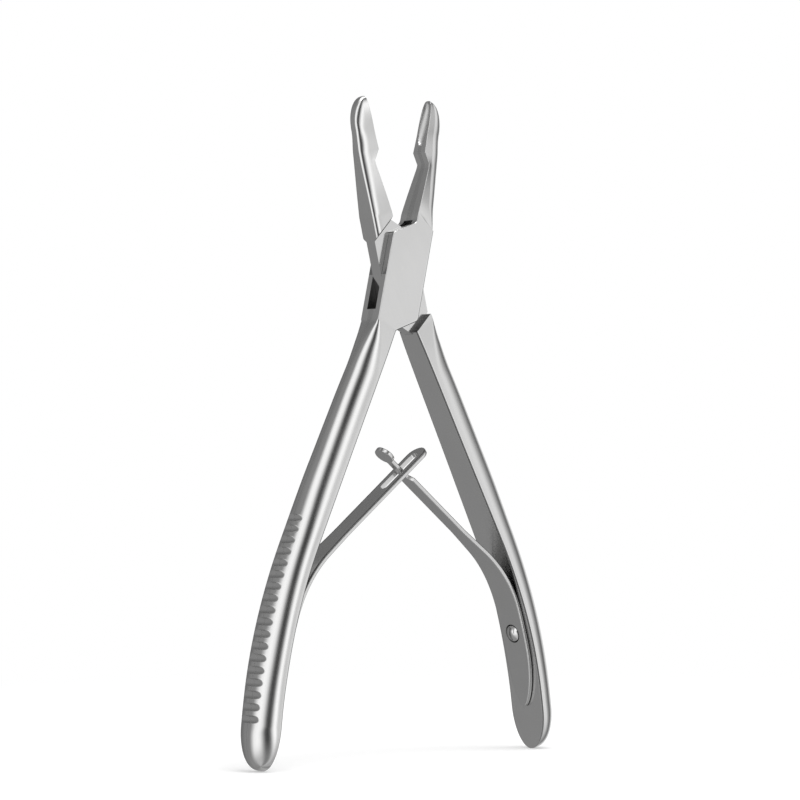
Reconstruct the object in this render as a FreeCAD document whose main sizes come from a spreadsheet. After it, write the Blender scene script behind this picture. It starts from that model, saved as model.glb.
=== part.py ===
import FreeCAD, Part
import math
import os
import Sketcher
from FreeCAD import Placement, Rotation, Vector

# Bone rongeur of the single action, box joint kind. Lengths are millimetres, angles degrees.
# Each arm is drawn with the tool closed, the pin's axis at x = z = 0 and the middle plane at y = 0.
# A side of 1 puts a handle, jaw or leaf on +X of the closed tool, and -1 puts it on -X.

SIZES = {
    # box joint
    "box_thickness": 7.1,
    "box_width": 13.0,
    "box_end_reach": 12.0,
    "box_end_angle": 32.6,
    "slot_end_angle": 39.8,
    "tongue_thickness": 3.35,
    "tongue_side_gap": 0.05,
    "tongue_end_gap": 0.45,
    "shoulder_gap": 0.4,
    "shoulder_rise": 2.6,
    "pin_diameter": 5.0,
    "pin_seat_gap": 0.01,
    "pin_running_gap": 0.05,
    "opening_angle": 26.6,
    # jaws
    "jaw_length": 47.2,
    "jaw_root_height": 17.1,
    "jaw_root_inset": 0.5,
    "jaw_root_bend": 0.5,
    "jaw_root_depth": 6.5,
    "jaw_heel_depth": 5.75,
    "jaw_nose_depth": 5.1,
    "jaw_heel_width": 4.9,
    "jaw_nose_width": 4.3,
    "jaw_corner": 1.0,
    "jaw_gap": 0.08,
    "nose_length": 8.0,
    "relief_depth": 2.1,
    "relief_flat": 1.0,
    "relief_ramp": 2.6,
    "heel_height": 33.3,
    "cup_length": 11.6,
    "cup_depth": 1.3,
    "cup_rim": 0.35,
    # handles
    "crotch_height": 13.8,
    "crotch_inset": -0.1,
    "handle_angle": 13.25,
    "handle_straight": 60.8,
    "handle_bow_radius": 134.0,
    "handle_bow_angle": 19.4,
    "handle_tail": 13.0,
    "handle_end_round": 11.0,
    "handle_bevel": 0.5,
    "neck_depth": 6.6,
    "shank_depth": 7.2,
    "swell_depth": 7.6,
    "grip_depth": 6.9,
    "palm_depth": 6.2,
    "shank_width": 7.9,
    "swell_width": 9.3,
    "grip_width": 10.9,
    "palm_width": 12.5,
    # grip grooves
    "groove_radius": 1.0,
    "groove_depth": 0.75,
    "groove_pitch": 2.93,
    "groove_start": 56.8,
    "groove_run": 50.5,
    # leaf springs
    "leaf_thickness": 1.1,
    "leaf_seat_gap": 0.03,
    "foot_end_station": 107.7,
    "foot_width": 8.8,
    "foot_end_run": 16.0,
    "bend_station": 81.0,
    "bend_radius": 34.0,
    "slotted_blade_angle": 34.4,
    "headed_blade_angle": 33.2,
    "slotted_blade_length": 43.0,
    "headed_blade_setback": 11.7,
    "headed_stem_length": 8.9,
    "slotted_blade_width": 6.2,
    "headed_blade_width": 4.5,
    "slot_clear_width": 2.6,
    "slot_clear_length": 15.0,
    "slot_end_wall": 2.2,
    "stem_width": 2.0,
    "head_radius": 2.6,
    "hinge_gap": 0.3,
    # spring screws
    "screw_station": 87.7,
    "screw_shank_diameter": 2.6,
    "screw_length": 5.0,
    "screw_head_diameter": 4.4,
    "screw_head_height": 0.8,
    "screw_dome": 0.9,
    "screw_slot_width": 0.7,
    "screw_slot_depth": 0.7,
    "screw_play": 0.05,
}

# Pure ratios, the same for a tool of any size
SHARES = {
    # stations along a handle, as shares of its straight
    "shank_station": 0.12,
    "swell_start": 0.4,
    "swell_width_station": 0.6,
    "swell_end": 0.7,
    "grip_station": 1.08,
    "cheek_fade": 0.1,
    "cheek_end": 0.25,
    # a handle's section and end
    "neck_cheek": 0.5,
    "neck_back": 0.2,
    "cheek_bevels": 2.0,
    "palm_bevels": 1.5,
    "palm_width_station": 0.9,
    "end_fullness": 0.6,
    # a jaw's waist, back, corners and hollows
    "waist_station": 0.3,
    "waist_face": 0.95,
    "jaw_back": 0.8,
    "root_corner": 0.2,
    "cup_fullness": 1.0,
    # a leaf's taper and rounded foot end
    "leaf_taper": 0.25,
    "foot_end_fullness": 1.2,
    "foot_end_width": 0.08,
}

# Places of the sections through a rounded end, as shares of its rounding
HANDLE_END_SECTIONS = (0.4, 0.68, 0.86, 0.955, 0.99)
JAW_NOSE_SECTIONS = (0.3, 0.55, 0.75, 0.89, 0.965, 0.993)
FOOT_END_SECTIONS = (0.005, 0.05, 0.15, 0.32, 0.6)
HANDLE_SECTIONS = 18
JAW_SECTIONS = 12
FOOT_SECTIONS = 10
BEND_SECTIONS = 5
CUP_SECTIONS = 14
CUP_END_ANGLE = 84

doc = FreeCAD.newDocument("bone_rongeur")
sheet = doc.addObject("Spreadsheet::Sheet", "sizes")
for row, (alias, value) in enumerate(SIZES.items(), start=1):
    sheet.set("A%d" % row, alias)
    sheet.set("B%d" % row, str(value))
    sheet.setAlias("B%d" % row, alias)
doc.recompute()


def size(alias):
    """One driving dimension, read back from the sheet."""
    return float(sheet.get(alias))


def bind(item, **bindings):
    """Ties properties of a document object to formulas on the sheet's cells."""
    for path, formula in bindings.items():
        item.setExpression(path.replace("__", "."), formula)


def tied(kind, name, **bindings):
    """A document object of the given kind whose properties follow the sheet."""
    item = doc.addObject(kind, name)
    bind(item, **bindings)
    return item


def shaped(name, shape):
    """A document object that holds a shape worked out below from the sheet's values."""
    item = doc.addObject("Part::Feature", name)
    item.Shape = shape
    return item


def sine(angle):
    return math.sin(math.radians(angle))


def cosine(angle):
    return math.cos(math.radians(angle))


HALF_BOX = size("box_thickness") / 2
HALF_WIDTH = size("box_width") / 2
HALF_OPENING = size("opening_angle") / 2


# Handles

def inner_face(station):
    """Point and lean of a handle's inner face, at a length along it below the crotch.

    The face runs straight from the crotch, then bows back towards the other handle on one large
    arc, and ends in a short straight tail."""
    lean = size("handle_angle")
    straight = size("handle_straight")
    bow = size("handle_bow_radius")
    turn = size("handle_bow_angle")
    bow_run = bow * math.radians(turn)
    x = size("crotch_inset") + min(station, straight) * sine(lean)
    z = -size("crotch_height") - min(station, straight) * cosine(lean)
    if station <= straight:
        return x, z, lean
    turned = min((station - straight) / bow_run, 1.0) * turn
    x += bow * (cosine(lean - turned) - cosine(lean))
    z -= bow * (sine(lean) - sine(lean - turned))
    rest = max(station - straight - bow_run, 0.0)
    x += rest * sine(lean - turned)
    z -= rest * cosine(lean - turned)
    return x, z, lean - turned


def handle_length():
    return (
        size("handle_straight")
        + size("handle_bow_radius") * math.radians(size("handle_bow_angle"))
        + size("handle_tail")
    )


def handle_section(side, station, depth, width, flat, back, bevel):
    """Closed wire of a handle's section, square to its inner face.

    A flat inner face with a bevel at each edge, a flat cheek that reaches to the depth "flat",
    then a quarter ellipse round to the back, which is flat over the half width "back"."""
    x, z, lean = inner_face(station)
    half = width / 2

    def at(out, across):
        return Vector(side * (x + out * cosine(lean)), across, z + out * sine(lean))

    def quarter(sign):
        points = []
        steps = 8
        for step in range(steps + 1):
            angle = 90.0 * step / steps
            out = flat + (depth - flat) * sine(angle)
            across = back + (half - back) * cosine(angle)
            points.append(at(out, sign * across))
        if sign < 0:
            points.reverse()
        curve = Part.BSplineCurve()
        curve.interpolate(points)
        return curve.toShape()

    upper = quarter(1)
    lower = quarter(-1)
    edges = [
        Part.makeLine(at(0, -half + bevel), at(0, half - bevel)),
        Part.makeLine(at(0, half - bevel), at(bevel, half)),
        Part.makeLine(at(bevel, half), at(flat, half)),
        upper,
        Part.makeLine(at(depth, back), at(depth, -back)),
        lower,
        Part.makeLine(at(flat, -half), at(bevel, -half)),
        Part.makeLine(at(bevel, -half), at(0, -half + bevel)),
    ]
    return Part.Wire(edges)


def eased(knots, place):
    """Value at a place along a row of (place, value) knots, on smooth cubic pieces with no overshoot."""
    places = [knot[0] for knot in knots]
    values = [knot[1] for knot in knots]
    rates = [(v2 - v1) / (p2 - p1) for p1, p2, v1, v2 in zip(places, places[1:], values, values[1:])]
    slopes = [rates[0]]
    for before, after in zip(rates, rates[1:]):
        slopes.append(2 * before * after / (before + after) if before * after > 0 else 0.0)
    slopes.append(rates[-1])
    place = min(max(place, places[0]), places[-1])
    piece = max(i for i in range(len(rates)) if places[i] <= place)
    span = places[piece + 1] - places[piece]
    t = (place - places[piece]) / span
    return (
        (2 * t ** 3 - 3 * t ** 2 + 1) * values[piece]
        + (t ** 3 - 2 * t ** 2 + t) * span * slopes[piece]
        + (3 * t ** 2 - 2 * t ** 3) * values[piece + 1]
        + (t ** 3 - t ** 2) * span * slopes[piece + 1]
    )


def end_share(beyond, rounding):
    """Share of the full width that a half ellipse keeps at a place beyond the start of its rounding."""
    return math.sqrt(max(1 - (beyond / rounding) ** 2, 0.0))


def handle_tables():
    """Knots of the handle's depth, width, cheek and back along its stations."""
    straight = size("handle_straight")
    length = handle_length()
    palm = length - size("handle_end_round")
    bevel = size("handle_bevel")
    neck = size("box_thickness")
    at = {name: SHARES[name] * straight for name in (
        "shank_station", "swell_start", "swell_width_station", "swell_end", "grip_station",
        "cheek_fade", "cheek_end",
    )}
    depths = [
        (0.0, size("neck_depth")), (at["shank_station"], size("shank_depth")),
        (at["swell_start"], size("swell_depth")), (at["swell_end"], size("swell_depth")),
        (at["grip_station"], size("grip_depth")), (palm, size("palm_depth")),
        (length, size("palm_depth")),
    ]
    widths = [
        (0.0, neck), (at["shank_station"], size("shank_width")),
        (at["swell_width_station"], size("swell_width")), (at["grip_station"], size("grip_width")),
        (SHARES["palm_width_station"] * palm, size("palm_width")), (length, size("palm_width")),
    ]
    cheeks = [
        (0.0, size("neck_depth") - bevel / 2), (at["cheek_fade"], SHARES["neck_cheek"] * size("neck_depth")),
        (at["cheek_end"], SHARES["cheek_bevels"] * bevel), (length, SHARES["palm_bevels"] * bevel),
    ]
    backs = [
        (0.0, neck / 2 - bevel / 2), (at["cheek_fade"], SHARES["neck_back"] * neck),
        (at["cheek_end"], bevel), (length, bevel),
    ]
    return depths, widths, cheeks, backs


def handle_blank(side, start):
    """A handle, lofted through sections from a start station to its rounded end."""
    depths, widths, cheeks, backs = handle_tables()
    length = handle_length()
    rounding = size("handle_end_round")
    palm = length - rounding
    steps = HANDLE_SECTIONS
    stations = [start + (palm - start) * step / steps for step in range(steps + 1)]
    stations += [palm + rounding * share for share in HANDLE_END_SECTIONS]
    wires = []
    for station in stations:
        share = end_share(max(station - palm, 0.0), rounding)
        depth_share = share ** SHARES["end_fullness"]
        wires.append(handle_section(
            side,
            station,
            eased(depths, station) * depth_share,
            eased(widths, station) * share,
            eased(cheeks, station) * depth_share,
            eased(backs, station) * share,
            size("handle_bevel") * share,
        ))
    return Part.makeLoft(wires, True, False)


def grip_grooves(side):
    """Round cutters across the back of a handle, evenly pitched along it."""
    depths = handle_tables()[0]
    radius = size("groove_radius")
    reach = size("palm_width")
    cutters = []
    for number in range(int(size("groove_run") / size("groove_pitch")) + 1):
        station = size("groove_start") + number * size("groove_pitch")
        x, z, lean = inner_face(station)
        out = eased(depths, station) + radius - size("groove_depth")
        centre = Vector(side * (x + out * cosine(lean)), -reach, z + out * sine(lean))
        cutters.append(Part.makeCylinder(radius, 2 * reach, centre, Vector(0, 1, 0)))
    return Part.makeCompound(cutters)


# Jaws

def jaw_widths():
    """Knots of a jaw's width at the mating face and at its back, by height."""
    root = size("jaw_root_height")
    heel = size("heel_height")
    nose = size("jaw_length") - size("nose_length")
    box = size("box_thickness")
    waist = root + SHARES["waist_station"] * (heel - root)
    ratio = SHARES["jaw_back"]
    face = [
        (root, box), (waist, SHARES["waist_face"] * box), (heel, size("jaw_heel_width")),
        (nose, size("jaw_nose_width")), (size("jaw_length"), size("jaw_nose_width")),
    ]
    back = [
        (root, box), (waist, ratio * box), (heel, ratio * size("jaw_heel_width")),
        (nose, ratio * size("jaw_nose_width")), (size("jaw_length"), ratio * size("jaw_nose_width")),
    ]
    return face, back


def jaw_section(side, height, depth, face, back, corner):
    """Closed wire of a jaw's section: flat mating face, cheeks that draw in, round back corners."""

    def at(out, across):
        return Vector(side * out, across, height)

    def round_corner(sign):
        points = []
        steps = 6
        for step in range(steps + 1):
            angle = 90.0 * step / steps
            points.append(at(depth - corner + corner * sine(angle),
                             sign * (back / 2 - corner + corner * cosine(angle))))
        if sign < 0:
            points.reverse()
        curve = Part.BSplineCurve()
        curve.interpolate(points)
        return curve.toShape()

    near = size("jaw_gap")
    return Part.Wire([
        Part.makeLine(at(near, -face / 2), at(near, face / 2)),
        Part.makeLine(at(near, face / 2), at(depth - corner, back / 2)),
        round_corner(1),
        Part.makeLine(at(depth, back / 2 - corner), at(depth, corner - back / 2)),
        round_corner(-1),
        Part.makeLine(at(depth - corner, -back / 2), at(near, -face / 2)),
    ])


def jaw_blank(side, start):
    """A jaw, lofted from a start height up to its rounded nose."""
    root = size("jaw_root_height")
    heel = size("heel_height")
    tip = size("jaw_length")
    rounding = size("nose_length")
    nose = tip - rounding
    face, back = jaw_widths()
    depths = [(root, size("jaw_root_depth")), (heel, size("jaw_heel_depth")),
              (nose, size("jaw_nose_depth")), (tip, size("jaw_nose_depth"))]
    corner = size("jaw_corner")
    corners = [(root, SHARES["root_corner"] * corner), (heel, corner), (tip, corner)]
    steps = JAW_SECTIONS
    heights = [start + (nose - start) * step / steps for step in range(steps + 1)]
    heights += [nose + rounding * share for share in JAW_NOSE_SECTIONS]
    wires = []
    for height in heights:
        share = end_share(max(height - nose, 0.0), rounding)
        wires.append(jaw_section(
            side,
            height,
            size("jaw_gap") + (eased(depths, height) - size("jaw_gap")) * share,
            eased(face, height) * share,
            eased(back, height) * share,
            eased(corners, height) * share,
        ))
    return Part.makeLoft(wires, True, False)


def prism(points, thickness):
    """Straight sided plate between y = -thickness / 2 and + thickness / 2 over an outline of (x, z)."""
    corners = [Vector(x, -thickness / 2, z) for x, z in points]
    face = Part.Face(Part.makePolygon(corners + corners[:1]))
    return face.extrude(Vector(0, thickness, 0))


def relief(side):
    """Cutter that sets a jaw back from the mating plane between the box and the heel of its cup."""
    over = size("box_thickness")
    root = size("jaw_root_height")
    end = size("heel_height") - size("relief_ramp")
    outline = [
        (-over, 0.0),
        (size("jaw_root_inset"), 0.0),
        (size("jaw_root_inset"), root),
        (size("relief_depth"), end - size("relief_flat")),
        (size("relief_depth"), end),
        (size("jaw_gap"), size("heel_height")),
        (-over, size("heel_height")),
    ]
    return prism([(side * x, z) for x, z in outline], 2 * over)


def cup(side):
    """Cutter of the oval hollow in a jaw's nose, set in from the rim all round."""
    face = jaw_widths()[0]
    rim = size("cup_rim")
    half = size("cup_length") / 2
    middle = size("jaw_length") - rim - half
    wires = []
    for section in range(CUP_SECTIONS + 1):
        angle = CUP_END_ANGLE * (2 * section / CUP_SECTIONS - 1)
        height = middle + half * sine(angle)
        share = cosine(angle) ** SHARES["cup_fullness"]
        wide = (eased(face, height) / 2 - rim) * share
        deep = (size("cup_depth") + size("jaw_gap")) * share
        points = []
        for turn in range(0, 360, 30):
            points.append(Vector(side * deep * cosine(turn), wide * sine(turn), height))
        curve = Part.BSplineCurve()
        curve.interpolate(points, PeriodicFlag=True)
        wires.append(Part.Wire(curve.toShape()))
    return Part.makeLoft(wires, True, False)


# Box joint

def on_line(reach, lean, x):
    """Height at x of the line at a distance "reach" above the pin that rises to +X at "lean"."""
    return (reach + x * sine(lean)) / cosine(lean)


def crotch_corner():
    """Where the box's sloping lower end meets the handle's inner face, on the side of -X, and the
    length along the face below the crotch at which it does."""
    lean = size("handle_angle")
    end_lean = size("box_end_angle")
    station = 0.0
    for _ in range(40):
        x, z, _lean = inner_face(station)
        drop = -on_line(size("box_end_reach"), end_lean, x) - z
        station -= drop * cosine(end_lean) / cosine(end_lean - lean)
    return -x, z, station


def box_plate():
    """The outline body of the box: full thickness between its two sloping ends."""
    reach = size("box_end_reach")
    lean = size("box_end_angle")
    corner_x, corner_z, station = crotch_corner()
    start = station + size("shoulder_gap")
    x, z, face_lean = inner_face(start)
    out = eased(handle_tables()[0], start)
    return prism([
        (-HALF_WIDTH, on_line(reach, lean, -HALF_WIDTH)),
        (size("jaw_root_bend"), on_line(reach, lean, size("jaw_root_bend"))),
        (size("jaw_root_inset"), size("jaw_root_height")),
        (size("jaw_root_depth"), size("jaw_root_height")),
        (HALF_WIDTH, -on_line(reach, lean, -HALF_WIDTH)),
        (corner_x, corner_z),
        (-x, z),
        (-x - out * cosine(face_lean), z + out * sine(face_lean)),
    ], size("box_thickness")), start


def slot_outline(reach, lean, spread):
    """Outline between two parallel sloping ends, symmetrical about the pin: it falls to +X."""
    return [
        (spread, on_line(reach, -lean, spread)),
        (-spread, on_line(reach, -lean, -spread)),
        (-spread, -on_line(reach, -lean, spread)),
        (spread, -on_line(reach, -lean, -spread)),
    ]


def tongue_plate():
    """The tongue: it fills the slot from side to side and ends just inside the slot's sloping ends."""
    reach = size("box_end_reach") - size("tongue_end_gap")
    lean = size("slot_end_angle")
    shoulder = size("box_end_reach") + size("shoulder_gap")
    top = on_line(shoulder, size("box_end_angle"), -HALF_WIDTH)
    inset = size("shoulder_gap")
    middle = size("jaw_root_inset") + inset
    upper = [
        (HALF_WIDTH, on_line(reach, -lean, HALF_WIDTH)),
        (-middle, on_line(reach, -lean, -middle)),
        (-HALF_WIDTH + inset, top + inset + HALF_WIDTH / 2),
        (-HALF_WIDTH + inset, top + inset),
        (-HALF_WIDTH, top),
    ]
    return prism(upper + [(-x, -z) for x, z in upper], size("tongue_thickness"))


def shoulder(turned, rise):
    """Cutter that frees a cheek pair from the pin out to the shoulder line, sloping over "rise"."""
    reach = size("box_end_reach") + size("shoulder_gap")
    inner = size("tongue_thickness") / 2
    outer = size("box_thickness")
    lean = size("box_end_angle")
    spread = 3 * size("box_width")
    cutters = []
    for sign in (1, -1):
        section = [(0, inner), (reach, inner), (reach + rise, HALF_BOX), (reach + rise, outer), (0, outer)]
        corners = [
            Vector(turned * (-up * sine(lean) - spread * cosine(lean)), sign * across,
                   turned * (up * cosine(lean) - spread * sine(lean)))
            for up, across in section
        ]
        face = Part.Face(Part.makePolygon(corners + corners[:1]))
        along = Vector(turned * 2 * spread * cosine(lean), 0, turned * 2 * spread * sine(lean))
        cutters.append(face.extrude(along))
    return Part.makeCompound(cutters)


# Leaf springs

class Leaf:
    """Centre path of one leaf, from its foot on the handle's face, round the bend, to its tip."""

    def __init__(self, side, turn, blade_width):
        self.side = side
        self.turn = turn
        self.blade_width = blade_width
        self.foot_run = size("foot_end_station") - size("bend_station")
        self.bend_run = size("bend_radius") * math.radians(turn)
        self.hinge_along = self.foot_run + self.bend_run / 2
        self.straight_along = self.foot_run + self.bend_run

    def place(self, along, across, off):
        """Point at a length along the leaf, across it, and off the handle's face."""
        x, z, lean = inner_face(size("foot_end_station") - min(along, self.foot_run))
        bent = min(max(along - self.foot_run, 0.0), self.bend_run) / self.bend_run * self.turn
        x -= size("bend_radius") * (cosine(lean) - cosine(lean + bent))
        z += size("bend_radius") * (sine(lean + bent) - sine(lean))
        lean += bent
        rest = max(along - self.straight_along, 0.0)
        x -= rest * sine(lean)
        z += rest * cosine(lean)
        return Vector(self.side * (x - off * cosine(lean)), across, z - off * sine(lean))

    def width(self, along):
        """The leaf draws in to a long rounded tip at its foot, and to the blade's width up the straight."""
        taper = self.straight_along + SHARES["leaf_taper"] * size("bend_radius")
        run = size("foot_end_run")
        share = end_share(max(run - along, 0.0), run) ** SHARES["foot_end_fullness"]
        knots = [(0.0, size("foot_width")), (self.foot_run, size("foot_width")), (taper, self.blade_width)]
        return eased(knots, along) * max(share, SHARES["foot_end_width"])

    def strip(self, stations):
        """The leaf's solid through rectangular sections at lengths along it."""
        low = size("leaf_seat_gap")
        high = low + size("leaf_thickness")
        wires = []
        for along in stations:
            half = self.width(along) / 2
            corners = [self.place(along, half, low), self.place(along, half, high),
                       self.place(along, -half, high), self.place(along, -half, low)]
            wires.append(Part.makePolygon(corners + corners[:1]))
        return Part.makeLoft(wires, True, False)

    def middle_off(self):
        return size("leaf_seat_gap") + size("leaf_thickness") / 2

    def hinge_point(self):
        return self.place(self.hinge_along, 0, self.middle_off())

    def foot(self):
        """The screwed part of the leaf and the lower half of its bend."""
        top = self.hinge_along - size("leaf_thickness") / 2 - size("hinge_gap")
        run = size("foot_end_run")
        stations = [run * share for share in FOOT_END_SECTIONS]
        steps = FOOT_SECTIONS
        stations += [run + (top - run) * step / steps for step in range(steps + 1)]
        return self.strip(stations)

    def blade(self, outline_top):
        """The upper half of the bend and the straight blade, whose end outline is given.

        outline_top lists (along, half width) pairs up one edge; the last edge is closed by an arc."""
        steps = BEND_SECTIONS
        bend = self.strip([
            self.hinge_along + (self.straight_along - self.hinge_along) * step / steps
            for step in range(steps + 1)
        ])
        low = size("leaf_seat_gap")
        edge = [(self.straight_along, self.width(self.straight_along) / 2)] + outline_top
        right = [self.place(along, half, low) for along, half in edge]
        left = [self.place(along, -half, low) for along, half in edge]
        last_along, last_half = edge[-1]
        crown = self.place(last_along + last_half, 0, low)
        edges = [Part.makeLine(a, b) for a, b in zip(right, right[1:])]
        edges.append(Part.Arc(right[-1], crown, left[-1]).toShape())
        edges += [Part.makeLine(a, b) for a, b in zip(left[::-1], left[::-1][1:])]
        edges.append(Part.makeLine(left[0], right[0]))
        flat = Part.Face(Part.Wire(edges))
        rise = self.place(self.straight_along, 0, low + size("leaf_thickness"))
        straight = flat.extrude(rise - self.place(self.straight_along, 0, low))
        half = self.width(self.hinge_along) / 2
        root = Part.makeCylinder(
            size("leaf_thickness") / 2,
            2 * half,
            self.place(self.hinge_along, -half, self.middle_off()),
            Vector(0, 1, 0),
        )
        return bend.fuse([straight, root]).removeSplitter()


def open_placement(turned):
    """Place of an arm and of all that rides on it when the tool stands open at rest."""
    return Placement(Vector(0, -HALF_BOX, 0), Rotation(Vector(0, 1, 0), turned * HALF_OPENING))


def follow_opening(item, turned):
    """Ties an arm's place to the sheet: its middle plane, and half of the opening angle."""
    item.Placement = open_placement(turned)
    bind(item, Placement__Base__y="-sizes.box_thickness / 2",
         Placement__Rotation__Angle="%d * sizes.opening_angle / 2" % turned)


def boolean(kind, name, parts):
    item = doc.addObject(kind, name)
    if kind == "Part::Cut":
        item.Base, item.Tool = parts
    else:
        item.Shapes = parts
    return item


def pin_hole(name, gap):
    """Hole for the pivot pin through an arm, wider than the pin by a named gap all round."""
    item = tied(
        "Part::Cylinder", name,
        Radius="sizes.pin_diameter / 2 + sizes." + gap,
        Height="2 * sizes.box_thickness",
    )
    item.Placement = Placement(Vector(0, 0, 0), Rotation(Vector(1, 0, 0), 90))
    bind(item, Placement__Base__y="sizes.box_thickness")
    return item


def screw_seat(side, inward):
    """Place of a spring screw on its foot's face, with z into the handle or out of it."""
    x, z, lean = inner_face(size("screw_station"))
    out = Vector(side * cosine(lean), 0, sine(lean))
    base = Vector(side * x, 0, z) - out * (size("leaf_seat_gap") + size("leaf_thickness"))
    return Placement(base, Rotation(Vector(0, 0, 1), out if inward else out * -1))


def screw_holes(name, side):
    """Tapped hole in the handle and countersink in the foot, both wider than the screw by its play.

    The countersink starts a play above the seat, so that it opens through the foot's curved face."""
    seat = screw_seat(side, True)
    shank = tied(
        "Part::Cylinder", name + "_thread",
        Radius="sizes.screw_shank_diameter / 2 + sizes.screw_play",
        Height="sizes.screw_length + sizes.screw_play",
    )
    shank.Placement = seat
    sink = tied(
        "Part::Cone", name + "_sink",
        Radius1="sizes.screw_head_diameter / 2 + 2 * sizes.screw_play",
        Radius2="sizes.screw_shank_diameter / 2 + sizes.screw_play",
        Height="sizes.screw_head_height + sizes.screw_play",
    )
    sink.Placement = seat * Placement(Vector(0, 0, -size("screw_play")), Rotation())
    return shank, sink


def box_arm():
    """Left handle, box and right jaw, slotted for the tongue and cut for pin, screw and grip."""
    plate, start = box_plate()
    jaw = boolean("Part::Cut", "box_arm_jaw", [
        shaped("box_arm_jaw_blank", jaw_blank(1, size("jaw_root_height"))),
        boolean("Part::MultiFuse", "box_arm_jaw_cuts", [
            shaped("box_arm_relief", relief(1)),
            shaped("box_arm_cup", cup(1)),
        ]),
    ])
    body = boolean("Part::MultiFuse", "box_arm_body", [
        shaped("box_arm_plate", plate),
        shaped("box_arm_handle", handle_blank(-1, start)),
        jaw,
    ])
    slot = shaped("box_slot", prism(
        slot_outline(size("box_end_reach"), size("slot_end_angle"), size("box_width")),
        size("tongue_thickness") + 2 * size("tongue_side_gap"),
    ))
    cutters = boolean("Part::MultiFuse", "box_arm_cuts", [
        slot,
        pin_hole("box_pin_hole", "pin_seat_gap"),
        screw_holes("box_arm_screw", -1)[0],
    ])
    plain = boolean("Part::Cut", "box_arm_plain", [body, cutters])
    item = boolean("Part::Cut", "box_arm", [plain, shaped("box_arm_grooves", grip_grooves(-1))])
    follow_opening(item, 1)
    return item


def tongue_arm():
    """Right handle, tongue and left jaw, stepped down to the tongue between its two shoulders."""
    root = -size("shoulder_rise")
    handle = boolean("Part::Cut", "tongue_arm_handle", [
        shaped("tongue_arm_handle_blank", handle_blank(1, root)),
        shaped("tongue_arm_step", shoulder(-1, 0.0)),
    ])
    jaw = boolean("Part::Cut", "tongue_arm_jaw", [
        shaped("tongue_arm_jaw_blank", jaw_blank(-1, size("jaw_root_height") - size("box_thickness"))),
        boolean("Part::MultiFuse", "tongue_arm_jaw_cuts", [
            shaped("tongue_arm_shoulder", shoulder(1, size("shoulder_rise"))),
            shaped("tongue_arm_relief", relief(-1)),
            shaped("tongue_arm_cup", cup(-1)),
        ]),
    ])
    body = boolean("Part::MultiFuse", "tongue_arm_body", [
        handle, jaw, shaped("tongue_arm_tongue", tongue_plate()),
    ])
    cutters = boolean("Part::MultiFuse", "tongue_arm_cuts", [
        pin_hole("tongue_pin_hole", "pin_running_gap"),
        screw_holes("tongue_arm_screw", 1)[0],
    ])
    plain = boolean("Part::Cut", "tongue_arm_plain", [body, cutters])
    item = boolean("Part::Cut", "tongue_arm", [plain, shaped("tongue_arm_grooves", grip_grooves(1))])
    follow_opening(item, -1)
    return item


def pivot_pin():
    """Round pin through box and tongue, ground flush with both faces of the box."""
    item = tied(
        "Part::Cylinder", "pivot_pin",
        Radius="sizes.pin_diameter / 2",
        Height="sizes.box_thickness",
    )
    item.Placement = Placement(Vector(0, 0, 0), Rotation(Vector(1, 0, 0), 90))
    return item


def foot(name, side, leaf, turned):
    """The part of a leaf that its screw holds down, with the countersink for the screw's head."""
    item = boolean("Part::Cut", name, [
        shaped(name + "_strip", leaf.foot()),
        boolean("Part::MultiFuse", name + "_screw_way", list(screw_holes(name + "_way", side))),
    ])
    follow_opening(item, turned)
    return item


def slotted_blade(leaf):
    """The blade whose end has the long slot that the other blade's stem rides in."""
    half = size("slotted_blade_width") / 2
    tip = leaf.straight_along + size("slotted_blade_length") - half
    taper = leaf.straight_along + SHARES["leaf_taper"] * size("bend_radius")
    strip = shaped("slotted_blade_strip", leaf.blade([(taper, half), (tip, half)]))
    low = size("leaf_seat_gap") - size("leaf_thickness")
    round_half = size("slot_clear_width") / 2
    last = leaf.straight_along + size("slotted_blade_length") - size("slot_end_wall") - round_half
    first = last - size("slot_clear_length") + size("slot_clear_width")
    corners = [
        leaf.place(first, round_half, low), leaf.place(last, round_half, low),
        leaf.place(last, -round_half, low), leaf.place(first, -round_half, low),
    ]
    top = leaf.place(last + round_half, 0, low)
    bottom = leaf.place(first - round_half, 0, low)
    outline = Part.Wire([
        Part.makeLine(corners[0], corners[1]),
        Part.Arc(corners[1], top, corners[2]).toShape(),
        Part.makeLine(corners[2], corners[3]),
        Part.Arc(corners[3], bottom, corners[0]).toShape(),
    ])
    through = leaf.place(first, 0, low + 3 * size("leaf_thickness")) - leaf.place(first, 0, low)
    slot = shaped("slotted_blade_slot", Part.Face(outline).extrude(through))
    item = boolean("Part::Cut", "slotted_spring_blade", [strip, slot])
    follow_opening(item, 1)
    return item


def headed_blade(leaf):
    """The blade that narrows to a stem with a flat round head at its end."""
    half = size("headed_blade_width") / 2
    stem = size("stem_width") / 2
    length = size("slotted_blade_length") - size("headed_blade_setback")
    shoulder_along = leaf.straight_along + length
    head_along = shoulder_along + size("headed_stem_length")
    taper = leaf.straight_along + SHARES["leaf_taper"] * size("bend_radius")
    strip = shaped("headed_blade_strip", leaf.blade([
        (taper, half), (shoulder_along - (half - stem), half), (shoulder_along, stem), (head_along, stem),
    ]))
    centre = leaf.place(head_along, 0, size("leaf_seat_gap"))
    rise = leaf.place(head_along, 0, size("leaf_seat_gap") + size("leaf_thickness")) - centre
    head = tied("Part::Cylinder", "headed_blade_head", Radius="sizes.head_radius",
                Height="sizes.leaf_thickness")
    head.Placement = Placement(centre, Rotation(Vector(0, 0, 1), rise))
    item = boolean("Part::MultiFuse", "headed_spring_blade", [strip, head])
    follow_opening(item, -1)
    return item


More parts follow.
